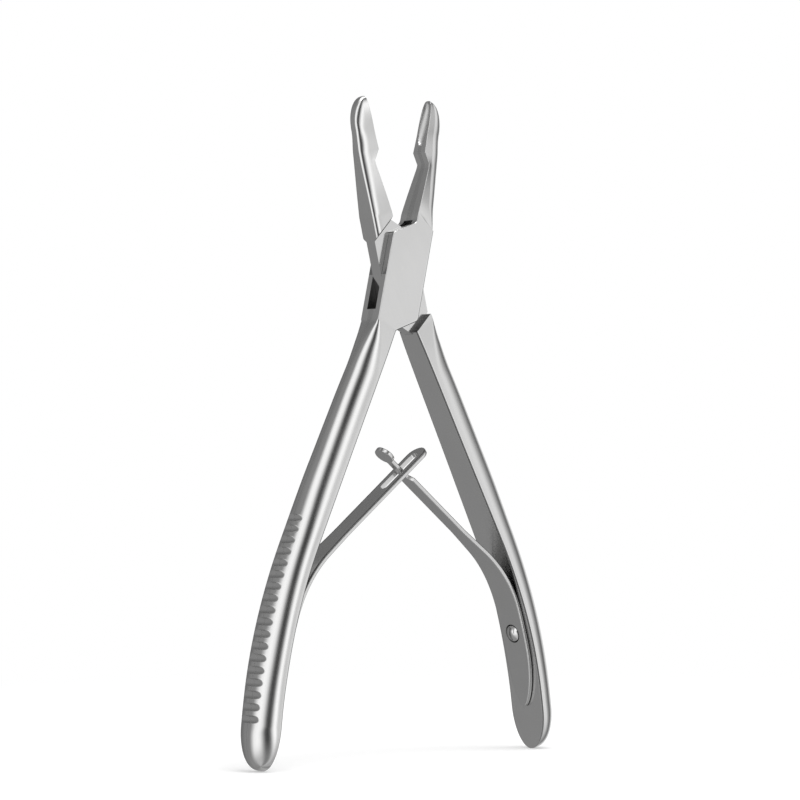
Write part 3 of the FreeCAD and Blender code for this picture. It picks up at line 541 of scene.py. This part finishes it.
def buildArms(steels):
    start = crotchStart()
    down = handleRings(-1, start)[::-1]
    middle = boxRings(-1, start)
    up = jawRings(1, jaw["rootHeight"] + jaw["sunk"], jaw["rootDrop"])
    rows = len(down) + len(middle) - 1
    finish = np.concatenate([np.tile(finishColumns(4), (rows, 1)),
                             np.tile(finishColumns(0), (len(up), 1))])
    boxArm = tube("boxArm", openUp(np.concatenate([down, middle, up]), 1), steels[0], finish)
    gap = tool["tongueThickness"] / 2 + tool["tongueSideGap"]
    spread = 2 * box["halfWidth"]
    top = [(x, onLine(box["endReach"], -box["slotLean"], x)) for x in (spread, -spread)]
    outline = top + [(-x, -z) for x, z in top]
    # the slot's walls take the cutter's near-black steel: painted shade deep in the slot
    finished(boxArm, [prism("cutter", outline, -gap, gap, 1, steels[0], paintedShadeFinish)])
    paintSideShade(boxArm)
    print("box arm made:", len(boxArm.data.polygons), "faces")

    grip = tube("tongueArm", openUp(handleRings(1, -box["shoulderRise"]), -1), steels[1],
                finishColumns(2))
    finished(grip, shoulderCutters(-1, box["gripShoulderRise"], steels[1]))
    nibRings = jawRings(-1, jaw["rootHeight"] - tool["boxThickness"], 0)
    nib = tube("nib", openUp(nibRings, -1), steels[1], finishColumns(0))
    finished(nib, shoulderCutters(1, box["shoulderRise"], steels[1]))
    reach = box["endReach"] - box["tongueEndGap"]
    half, inset = box["halfWidth"], box["shoulderGap"]
    shoulderTop = onLine(box["endReach"] + inset, box["endLean"], -half)
    middle = jaw["rootInset"] + inset
    upper = [(half, onLine(reach, -box["slotLean"], half)),
             (-middle, onLine(reach, -box["slotLean"], -middle)),
             (-half + inset, shoulderTop + inset + half / 2),
             (-half + inset, shoulderTop + inset), (-half, shoulderTop)]
    thin = tool["tongueThickness"] / 2 - box["tonguePlay"]
    plate = prism("plate", upper + [(-x, -z) for x, z in upper], -thin, thin, -1, steels[1])
    finished(grip, [nib, plate], "UNION")
    print("tongue arm made:", len(grip.data.polygons), "faces")
    return boxArm, grip


def paintSideShade(boxArm):
    # The narrow side faces of the box above the pin stand in the shade of the tongue: the faces that
    # look left there get a darker steel as painted shade.
    mesh = boxArm.data
    centres = np.empty(3 * len(mesh.polygons))
    normals = np.empty(3 * len(mesh.polygons))
    mesh.polygons.foreach_get("center", centres)
    mesh.polygons.foreach_get("normal", normals)
    centres, normals = centres.reshape(-1, 3) / millimetre, normals.reshape(-1, 3)
    finish = np.empty(len(mesh.polygons), np.int32)
    mesh.polygons.foreach_get("material_index", finish)
    aboveThePin = (centres[:, 2] > box["sideShadeFrom"]) & (centres[:, 2] < box["sideShadeTo"])
    side = (normals[:, 0] < box["sideShadeFacing"]) & (centres[:, 0] < 0) & aboveThePin
    finish[side] = paintedSideShade
    mesh.polygons.foreach_set("material_index", finish)


# Leaf springs

# "edgeShare" and "flatShare" are shares of a half width that an edge and the last row before it keep
# to, "middle" is how far the strip's middle lies off the handle, and "cutSpan" where the slot's cutter
# begins and ends.
spring = {
    "thickness": 1.1, "seatGap": 0.03, "middle": 0.58, "edge": 0.24,
    "edgeShare": 0.9, "flatShare": 0.9, "footEnd": 107.7, "footWidth": 8.8, "footEndRun": 16.0,
    "footFullness": 0.6, "bendStart": 81.0, "bendRadius": 34.0, "bendInset": 0.5,
    "slottedTurn": 34.4, "slottedLength": 43.0, "slottedWidth": 6.2,
    "slotWidth": 2.6, "slotLength": 15.0, "slotEndWall": 2.2, "cutSpan": (-2.0, 4.0),
    "headedTurn": 33.2, "headedLength": 31.3, "headedWidth": 4.5,
    "stemWidth": 2.0, "stemLength": 8.9, "headRadius": 2.6,
    "firstStep": 0.8, "rowStep": 0.9, "streakLean": -50.0,
}
footRun = spring["footEnd"] - spring["bendStart"]


def leafPoint(side, turn, along, across, off):
    # Point on a leaf: up the handle's face to the bend, round the bend's arc away from it, and on
    # along a straight, moved off the face by "off" and across by "across".
    along = np.asarray(along, float)
    x, z, lean = innerFace(spring["footEnd"] - np.minimum(along, footRun))
    radius = spring["bendRadius"]
    bendRun = radius * math.radians(turn)
    bent = np.clip((along - footRun) / bendRun, 0, 1) * turn
    x = x - radius * (cosine(lean) - cosine(lean + bent))
    z = z + radius * (sine(lean + bent) - sine(lean))
    lean = lean + bent
    rest = np.maximum(along - footRun - bendRun, 0)
    x, z = x - rest * sine(lean), z + rest * cosine(lean)
    x, z = side * (x - off * cosine(lean)), z - off * sine(lean)
    return np.stack(np.broadcast_arrays(x, across, z), axis=-1)


def leafTube(name, side, turn, turned, stations, halfWidth, steels):
    # Leaf through rounded oblongs: each corner is a quarter circle of the edge radius. The corners
    # against the handle take dark steel as painted shade.
    low, high = spring["seatGap"], spring["seatGap"] + spring["thickness"]
    swing = np.linspace(0, 90, 5)
    radius = np.minimum(spring["edge"], halfWidth * spring["edgeShare"])[:, None]
    half = halfWidth[:, None]
    # one quarter: from the middle of the outer face to the end of its corner
    across = np.concatenate([0 * half, (half - radius) * spring["flatShare"],
                             half - radius + radius * sine(swing)], axis=1)
    rise = np.concatenate([0 * half + high, 0 * half + high,
                           high - radius * (1 - cosine(swing))], axis=1)
    middle = (low + high) / 2
    across = np.concatenate([across, across[:, ::-1]], axis=1)
    rise = np.concatenate([rise, 2 * middle - rise[:, ::-1]], axis=1)
    across = np.concatenate([across, -across[:, -2:0:-1]], axis=1)
    rise = np.concatenate([rise, rise[:, -2:0:-1]], axis=1)
    rings = leafPoint(side, turn, stations[:, None], across, rise)
    finish = np.zeros(rings.shape[1], int)
    lower = len(swing) + 2
    # the lower corners' columns take the dark steel of painted shade
    finish[lower:lower + len(swing)] = 1
    finish[-lower - len(swing):-lower] = 1
    return tube(name, openUp(rings, turned), steels, finish)


def buildSprings(steels):
    end = spring["footWidth"] / 2
    run = spring["footEndRun"]
    taperRun = spring["bendRadius"] / 4

    def body(turn, bladeHalf, along):
        # Half width: a long rounded tip at the foot's end, then a smooth draw-in to the blade.
        straight = footRun + spring["bendRadius"] * math.radians(turn)
        knots = [(0, end), (footRun, end), (straight + taperRun, bladeHalf)]
        share = np.maximum(1 - (np.maximum(run - along, 0) / run) ** 2, 0) ** spring["footFullness"]
        return eased(knots, along) * share, straight

    footStations = run * (1 - cosine(np.linspace(4, 90, 30)))
    first, step = run + spring["firstStep"], spring["rowStep"]
    leaves = []
    # slotted leaf, whose tip is a half circle
    turn, half = spring["slottedTurn"], spring["slottedWidth"] / 2
    straight = body(turn, half, np.array([0.0]))[1]
    tip = straight + spring["slottedLength"]
    along = np.concatenate([footStations, np.arange(first, tip - half, step),
                            tip - half + half * sine(np.linspace(0, 87, 22))])
    gone = np.maximum(along - (tip - half), 0) / half
    width = body(turn, half, along)[0] * np.sqrt(np.maximum(1 - gone ** 2, 0))
    slotted = leafTube("slottedSpring", -1, turn, 1, along, width, steels[-1])
    radius = spring["slotWidth"] / 2
    upper = tip - spring["slotEndWall"] - radius
    lower = upper - spring["slotLength"] + spring["slotWidth"]
    arc = np.linspace(-90, 90, 13)
    slotAlong = np.concatenate([upper + radius * cosine(arc), lower - radius * cosine(arc)])
    slotAcross = np.concatenate([radius * sine(arc), -radius * sine(arc)])
    levels = [leafPoint(-1, turn, slotAlong, slotAcross, off) for off in spring["cutSpan"]]
    cutters = [tube("cutter", openUp(np.stack(levels), 1), []), screwSeat(-1, 1, steels[-1])]
    leaves.append((finished(slotted, cutters), straight, turn, -1, 1))
    # headed leaf: it draws in to a stem, and a round head stands on the stem
    turn, half = spring["headedTurn"], spring["headedWidth"] / 2
    stem, head = spring["stemWidth"] / 2, spring["headRadius"]
    straight = body(turn, half, np.array([0.0]))[1]
    shoulder = straight + spring["headedLength"]
    centre = shoulder + spring["stemLength"]
    join = math.degrees(math.asin(stem / head))
    drawIn = shoulder - half + stem
    along = np.concatenate([footStations, np.arange(first, drawIn, step),
                            np.linspace(drawIn, shoulder, 8),
                            np.arange(shoulder + 0.6, centre - head * 1.05, 0.8),
                            centre - head * cosine(np.linspace(join, 177, 36))])
    width = body(turn, half, along)[0]
    narrow = np.clip(half - (along - drawIn), stem, half)
    disc = np.sqrt(np.maximum(head ** 2 - (along - centre) ** 2, 0))
    width = np.where(along > drawIn, np.maximum(narrow * (along < centre), disc), width)
    headed = leafTube("headedSpring", 1, turn, -1, along, width, steels[1])
    leaves.append((finished(headed, [screwSeat(1, -1, steels[1])]), straight, turn, 1, -1))
    print("springs made")
    return leaves


# Screws and pin

# "shank", "head" and "centre" are radii. "centre" is where the flat cap on the axis begins.
screw = {
    "station": 87.7, "shank": 1.3, "length": 5.0, "tip": 0.2, "head": 2.2, "headHeight": 0.8,
    "dome": 0.9, "edge": 0.06, "slotWidth": 0.7, "slotDepth": 0.7, "slotTop": 2.0, "slotRun": 4,
    "seatPlay": 0.3, "seatRim": 0.3, "seatDeeper": 0.25, "centre": 0.02, "sides": 64,
    "sharpFrom": 40,
}
pin = {"radius": 2.5, "proud": 0.004, "edge": 0.05, "centre": 0.02, "sharpFrom": 40}


def screwFrame(side):
    # Seat of a spring screw on the leaf's outer face, and the three directions there: along the
    # face, across it, and out of the handle.
    x, z, lean = innerFace(screw["station"])
    out = np.array([-side * cosine(lean), 0, -sine(lean)])
    along = np.array([-side * sine(lean), 0, cosine(lean)])
    base = np.array([side * x, 0, z]) + out * (spring["seatGap"] + spring["thickness"])
    return base, along, np.array([0.0, 1.0, 0.0]), out


def turnedProfile(name, profile, base, first, second, axis, turned, steels, finish=0):
    # Surface of revolution: each (radius, height) of a profile swept round the axis.
    profile = np.array(profile, float)
    angle = np.linspace(0, 360, screw["sides"], endpoint=False)
    radius, height = profile[:, :1, None], profile[:, 1:, None]
    ring = cosine(angle)[None, :, None] * first + sine(angle)[None, :, None] * second
    rings = openUp(base + radius * ring + height * axis, turned)
    return tube(name, rings, steels, np.full(len(angle), finish))


def screwSeat(side, turned, steels):
    # Cutter of the countersink: a cone a little wider than the head, in the leaf's dark steel of painted
    # shade.
    base, along, across, out = screwFrame(side)
    wide, narrow = screw["head"] + screw["seatPlay"], screw["shank"] + screw["seatPlay"]
    profile = [(wide + screw["seatRim"], screw["seatRim"]), (wide, 0),
               (narrow, -screw["headHeight"] - screw["seatDeeper"])]
    return turnedProfile("cutter", profile, base, along, across, out, turned, steels, 1)


def buildScrew(name, side, turned, material):
    # Countersunk screw with a slotted dome. The dome is a cap of a ball, whose radius is the sum of
    # the squares of the dome's height and the head's radius over twice that height.
    base, along, across, out = screwFrame(side)
    head, dome, edge = screw["head"], screw["dome"], screw["edge"]
    bow = (dome ** 2 + head ** 2) / (2 * dome)
    radii = np.linspace(screw["centre"], head - edge, 16)
    crown = np.stack([radii, np.sqrt(bow ** 2 - radii ** 2) - bow + dome], axis=-1)
    shank, end = screw["shank"], -screw["length"]
    rest = [(head, -edge), (shank, -screw["headHeight"]), (shank, end + screw["tip"]),
            (shank - screw["tip"], end), (screw["centre"], end)]
    profile = np.concatenate([crown, rest])
    piece = turnedProfile(name, profile, base, along, across, out, turned, [material])
    wide = screw["slotWidth"] / 2
    floor = dome - screw["slotDepth"]
    corners = [(-wide, floor), (wide, floor), (wide, screw["slotTop"]), (-wide, screw["slotTop"])]
    ends = [np.array([base + a * across + h * out + run * along for a, h in corners])
            for run in (-screw["slotRun"], screw["slotRun"])]
    cutter = tube("cutter", openUp(np.stack(ends), turned), [])
    return finished(piece, [cutter], sharpFrom=screw["sharpFrom"])


def buildPin(material):
    # Pin ground flush with the box: it stands proud by a hair, with its edges broken.
    half, edge = halfBox + pin["proud"], pin["edge"]
    profile = [(pin["centre"], half), (pin["radius"] - edge, half), (pin["radius"], half - edge)]
    profile += [(r, -h) for r, h in profile[::-1]]
    toRight, toBack, upward = np.eye(3)
    piece = turnedProfile("pivotPin", profile, np.zeros(3), toRight, upward, toBack, 1, [material])
    return finished(piece, sharpFrom=pin["sharpFrom"])


# Steel

steel = {
    "polished": {"colour": 0.68, "rough": 0.15, "grain": 0.05, "bump": 0.04},
    "satin": {"colour": 0.68, "rough": 0.22, "grain": 0.06, "bump": 0.05},
    "spring": {"colour": 0.66, "rough": 0.22, "grain": 0.06, "bump": 0.04},
    "cup": {"colour": 0.56, "rough": 0.36, "grain": 0.06, "bump": 0.04},
    # a darker steel for the box's side faces beside the tongue: painted shade
    "paintedSideShade": {"colour": 0.36, "rough": 0.2, "grain": 0.04, "bump": 0.02},
    # near-black steel painted where shade falls: in the slot, in crevices, in screw seats and along
    # inner edges
    "paintedShade": {"colour": 0.14, "rough": 0.45, "grain": 0.04, "bump": 0.02},
    "screw": {"colour": 0.74, "rough": 0.13, "grain": 0.03, "bump": 0.02},
}


brush = {
    "fineScale": (5000, 5000, 160), "fineDetail": 3.0, "fineRoughness": 0.65,
    "coarseScale": (2600, 2600, 90), "coarseDetail": 2.0, "coarseRoughness": 0.5,
    "cloudScale": 70.0, "cloudDetail": 4.0, "cloudRoughness": 0.55,
    "cloudGloss": 0.12, "cloudTone": 0.07, "coarseTone": 0.7, "green": 0.998, "blue": 0.994,
    "fineHeight": 0.6, "coarseHeight": 0.4, "bumpDistance": 0.00002,
}


def makeSteel(name, kind, lean):
    # Brushed along the arm: fine and coarse streaks stretched along its lean, and slow clouds. They
    # move the gloss and, more faintly, the tone, each by its share of the noise less one half.
    settings = steel[kind]
    material = bpy.data.materials.new(name)
    material.use_nodes = True
    tree = material.node_tree
    shader = tree.nodes["Principled BSDF"]
    start = Wire(tree, tree.nodes.new("ShaderNodeTexCoord").outputs["Object"])

    def mapped(vector, sockets):
        return start.node("ShaderNodeMapping", {}, {"Vector": vector, **sockets})

    def noise(vector, scale, detail, roughness):
        return start.node("ShaderNodeTexNoise", {}, {"Vector": vector, "Scale": scale,
                                                     "Detail": detail, "Roughness": roughness})

    turned = mapped(start, {"Rotation": (0, math.radians(lean), 0)})
    streaks = mapped(turned, {"Scale": brush["fineScale"]})
    fine = noise(streaks, 1.0, brush["fineDetail"], brush["fineRoughness"])
    scratches = mapped(turned, {"Scale": brush["coarseScale"]})
    coarse = noise(scratches, 1.0, brush["coarseDetail"], brush["coarseRoughness"])
    clouds = noise(start, brush["cloudScale"], brush["cloudDetail"], brush["cloudRoughness"])
    grain = settings["grain"]
    rough = (fine - 0.5) * grain + (coarse - 0.5) * grain + (clouds - 0.5) * brush["cloudGloss"]
    rough = (rough + settings["rough"]).clipped()
    tone = (clouds - 0.5) * brush["cloudTone"] + (coarse - 0.5) * grain * brush["coarseTone"]
    tone = tone + settings["colour"]
    colour = start.node("ShaderNodeCombineColor", {}, {
        "Red": tone, "Green": tone * brush["green"], "Blue": tone * brush["blue"]})
    bump = start.node("ShaderNodeBump", {}, {
        "Height": fine * brush["fineHeight"] + coarse * brush["coarseHeight"],
        "Strength": settings["bump"], "Distance": brush["bumpDistance"]})
    tree.links.new(colour.socket, shader.inputs["Base Color"])
    tree.links.new(rough.socket, shader.inputs["Roughness"])
    tree.links.new(bump.socket, shader.inputs["Normal"])
    shader.inputs["Metallic"].default_value = 1.0
    return material


# Studio: what the steel mirrors, by azimuth from the front, positive to the right, as (degrees,
# brightness): bright on the left and from the front to the right front, dark behind the camera, on
# the right and at the back.
# "skyTop" and "skyFoot" are the upward parts of a direction at which ceiling and ground begin and are
# full, and "slant" and "lowSlant" how far the bands lean above and below the horizon.
studio = {
    "azimuths": [
        (-180, 0.2), (-165, 0.25), (-150, 0.3), (-128, 0.32), (-116, 0.7), (-104, 1.25),
        (-85, 1.38), (-70, 1.15), (-57, 0.5), (-46, 0.1), (-33, 0.06), (-22, 0.2), (-12, 0.8),
        (-2, 1.4), (8, 1.42), (15, 1.05), (21, 0.82), (30, 0.82), (38, 0.94), (44, 1.06),
        (50, 0.92), (57, 0.62), (65, 0.42), (72, 0.28), (80, 0.17), (88, 0.24), (96, 0.5),
        (106, 0.85), (118, 0.9), (134, 0.5), (150, 0.2), (180, 0.2)],
    "slant": 1.35, "lowSlant": 0.6, "skyLight": 0.85,
    "skyTop": (0.74, 0.95), "ceiling": 0.8,
    "skyFoot": (-0.15, -0.85), "groundShare": 0.7, "ground": 0.36,
    "floorColour": 0.8, "floorHelp": 0.24, "floorNear": 0.22, "floorFade": 0.35,
    "floorReach": 6.0, "floorDrop": 0.0001,
    "keySize": 0.5, "keyPower": 3.0, "keyPlace": (0.05, -0.25, 0.85), "keyAim": (0, 0, -0.05),
}


def makeWorld():
    # The sky is white to the camera, an even light to matt surfaces, and the bands of the studio to
    # mirrored rays.
    world = bpy.data.worlds.new("studio")
    bpy.context.scene.world = world
    world.use_nodes = True
    tree = world.node_tree
    tree.nodes.clear()
    way = Wire(tree, tree.nodes.new("ShaderNodeTexCoord").outputs["Generated"])
    parts = tree.nodes.new("ShaderNodeSeparateXYZ")
    tree.links.new(way.socket, parts.inputs[0])
    x, y, z = [Wire(tree, s) for s in parts.outputs]
    # azimuth from -Y, positive towards +X, as a share of the full turn
    azimuth = way.join("ARCTAN2", x, y * -1.0)
    height = z.join("ARCSINE", z)
    # each band leans by the slope times the cosine of half its azimuth, and the slope grows with the
    # height above or below the horizon
    slope = height.join("MAXIMUM", height, 0.0) * studio["slant"]
    slope = slope + height.join("MAXIMUM", height * -1.0, 0.0) * studio["lowSlant"]
    azimuth = azimuth - azimuth.join("COSINE", azimuth / 2) * slope
    azimuth = way.join("WRAP", azimuth / (2 * math.pi) + 0.5, 1.0, 0.0)
    stops = [((a + 180) / 360, v) for a, v in studio["azimuths"]]
    around = way.node("ShaderNodeValToRGB", {"stops": stops}, {"Fac": azimuth})
    upward = way.node("ShaderNodeMapRange", {"interpolation_type": "SMOOTHSTEP"},
                      {"Value": z, "From Min": studio["skyTop"][0],
                       "From Max": studio["skyTop"][1]})
    seen = around * (1.0 - upward) + upward * studio["ceiling"]
    below = way.node("ShaderNodeMapRange", {"interpolation_type": "SMOOTHSTEP"},
                     {"Value": z, "From Min": studio["skyFoot"][0],
                      "From Max": studio["skyFoot"][1], "To Max": studio["groundShare"]})
    seen = seen * (1.0 - below) + below * studio["ground"]
    path = tree.nodes.new("ShaderNodeLightPath")
    camera = Wire(tree, path.outputs["Is Camera Ray"])
    gloss = Wire(tree, path.outputs["Is Glossy Ray"])
    clear = Wire(tree, path.outputs["Is Transmission Ray"])
    strength = way.join("MAXIMUM", camera, clear)
    strength = strength + (1.0 - strength) * (gloss * seen + (1.0 - gloss) * studio["skyLight"])
    background = tree.nodes.new("ShaderNodeBackground")
    background.inputs["Color"].default_value = (1, 1, 1, 1)
    tree.links.new(strength.socket, background.inputs["Strength"])
    output = tree.nodes.new("ShaderNodeOutputWorld")
    tree.links.new(background.outputs[0], output.inputs[0])


def makeFloor():
    # Matt white floor that catches the shadow, helped a little by its own light, and fading into
    # the white of the sky for the camera.
    material = bpy.data.materials.new("floorWhite")
    material.use_nodes = True
    tree = material.node_tree
    tree.nodes.clear()
    path = tree.nodes.new("ShaderNodeLightPath")
    camera = Wire(tree, path.outputs["Is Camera Ray"])
    place = Wire(tree, tree.nodes.new("ShaderNodeTexCoord").outputs["Object"])
    distance = place.node("ShaderNodeVectorMath", {"operation": "LENGTH"}, {0: place}, output=1)
    away = place.node("ShaderNodeMapRange", {"interpolation_type": "SMOOTHSTEP"},
                      {"Value": distance, "From Min": studio["floorNear"],
                       "From Max": studio["floorFade"]})
    diffuse = tree.nodes.new("ShaderNodeBsdfDiffuse")
    diffuse.inputs["Color"].default_value = (studio["floorColour"],) * 3 + (1,)
    glow = tree.nodes.new("ShaderNodeEmission")
    tree.links.new((camera * studio["floorHelp"]).socket, glow.inputs["Strength"])
    near = tree.nodes.new("ShaderNodeAddShader")
    tree.links.new(diffuse.outputs[0], near.inputs[0])
    tree.links.new(glow.outputs[0], near.inputs[1])
    sweep = tree.nodes.new("ShaderNodeEmission")
    mixFar = tree.nodes.new("ShaderNodeMixShader")
    tree.links.new((away * camera).socket, mixFar.inputs[0])
    tree.links.new(near.outputs[0], mixFar.inputs[1])
    tree.links.new(sweep.outputs[0], mixFar.inputs[2])
    output = tree.nodes.new("ShaderNodeOutputMaterial")
    tree.links.new(mixFar.outputs[0], output.inputs[0])
    reach, level = studio["floorReach"], cadBox[0][2] - studio["floorDrop"]
    corners = [(-reach, -reach), (reach, -reach), (reach, reach), (-reach, reach)]
    mesh = bpy.data.meshes.new("floor")
    mesh.from_pydata([(x, y, level) for x, y in corners], [], [(0, 1, 2, 3)])
    mesh.materials.append(material)
    floor = bpy.data.objects.new("floor", mesh)
    bpy.context.scene.collection.objects.link(floor)
    floor.visible_glossy = False


# Metres, degrees and pixels. The camera looks level at the plane y = "middle", from "azimuth" to the
# left of the front, and its picture is shifted by "acrossPixels" and "downPixels".
view = {
    "azimuth": 40.0, "distance": 0.859, "height": -0.0452, "middle": -0.00355,
    "focal": 3342.0, "roll": -0.516, "acrossPixels": 1.2, "downPixels": 53.0, "pixels": 800.0,
    "sensor": 36.0, "nearest": 0.02,
}


def makeCamera():
    # Camera as fitted to the photograph. Its lens is the focal length in pixels times the sensor's
    # width over the picture's.
    data = bpy.data.cameras.new("camera")
    data.sensor_width = view["sensor"]
    data.lens = view["focal"] * data.sensor_width / view["pixels"]
    data.shift_x = view["acrossPixels"] / view["pixels"]
    data.shift_y = view["downPixels"] / view["pixels"]
    data.clip_start = view["nearest"]
    camera = bpy.data.objects.new("camera", data)
    bpy.context.scene.collection.objects.link(camera)
    angle = math.radians(view["azimuth"])
    camera.location = (-math.sin(angle) * view["distance"],
                       view["middle"] - math.cos(angle) * view["distance"], view["height"])
    right, up = Vector((math.cos(angle), -math.sin(angle), 0)), Vector((0, 0, 1))
    level = Matrix((right, up, right.cross(up))).transposed()
    roll = Matrix.Rotation(math.radians(view["roll"]), 3, "Z")
    camera.rotation_euler = (level @ roll).to_euler()
    bpy.context.scene.camera = camera


def makeLamps():
    # One key light over the front, aimed at the handles.
    lamp = bpy.data.lights.new("key", "AREA")
    lamp.shape = "DISK"
    lamp.size = studio["keySize"]
    lamp.energy = studio["keyPower"]
    key = bpy.data.objects.new("key", lamp)
    bpy.context.scene.collection.objects.link(key)
    key.location = studio["keyPlace"]
    aim = Vector(studio["keyAim"]) - key.location
    key.rotation_euler = aim.to_track_quat("-Z", "Y").to_euler()


makeCamera()
makeWorld()
makeFloor()
makeLamps()
print("camera, floor and light set")

armLean = handle["lean"] + tool["openingAngle"] / 2
# Dark steels that paint shade: in slots, crevices and seats, and on the box's side beside the tongue.
paintedShade = makeSteel("paintedShadeSteel", "paintedShade", 0)
cupSteel = makeSteel("cupSteel", "cup", 0)
sideShadeSteel = makeSteel("sideShadeSteel", "paintedSideShade", 0)
leftSteel = [makeSteel("polishedSteelLeft", "polished", armLean),
             makeSteel("satinSteelLeft", "satin", armLean)]
rightSteel = [makeSteel("polishedSteelRight", "polished", -armLean),
              makeSteel("satinSteelRight", "satin", -armLean)]
for steels in (leftSteel, rightSteel):
    steels += [cupSteel, paintedShade, sideShadeSteel]
bladeSteel = {side: [makeSteel(name, "spring", side * spring["streakLean"]), paintedShade]
              for side, name in ((-1, "slottedSpringSteel"), (1, "headedSpringSteel"))}
screwSteel = makeSteel("screwSteel", "screw", 0)

boxArm, tongueArm = buildArms([leftSteel, rightSteel])
for piece, body in ((boxArm, "box_arm"), (tongueArm, "tongue_arm")):
    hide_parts(body)
    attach(piece, body)

names = {-1: "slotted_spring", 1: "headed_spring"}
for leaf, straight, turn, side, turned in buildSprings(bladeSteel):
    springName = names[side]
    hold = "box_arm" if side < 0 else "tongue_arm"
    bend = (footRun + spring["bendInset"], straight - spring["bendInset"])
    ends = [openUp(leafPoint(side, turn, place, 0, spring["middle"]), turned) for place in bend]
    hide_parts(springName + "_foot", springName + "_blade")
    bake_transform(leaf)
    holder = buildScrew(springName.replace("_spring", "") + "Screw", side, turned, screwSteel)
    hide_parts(springName + "_screw")
    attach(holder, hold)
pivot = buildPin(leftSteel[0])
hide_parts("pivot_pin")
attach(pivot, "box_arm")
print("screws and pin made")

bpy.context.scene.view_settings.view_transform = "Standard"
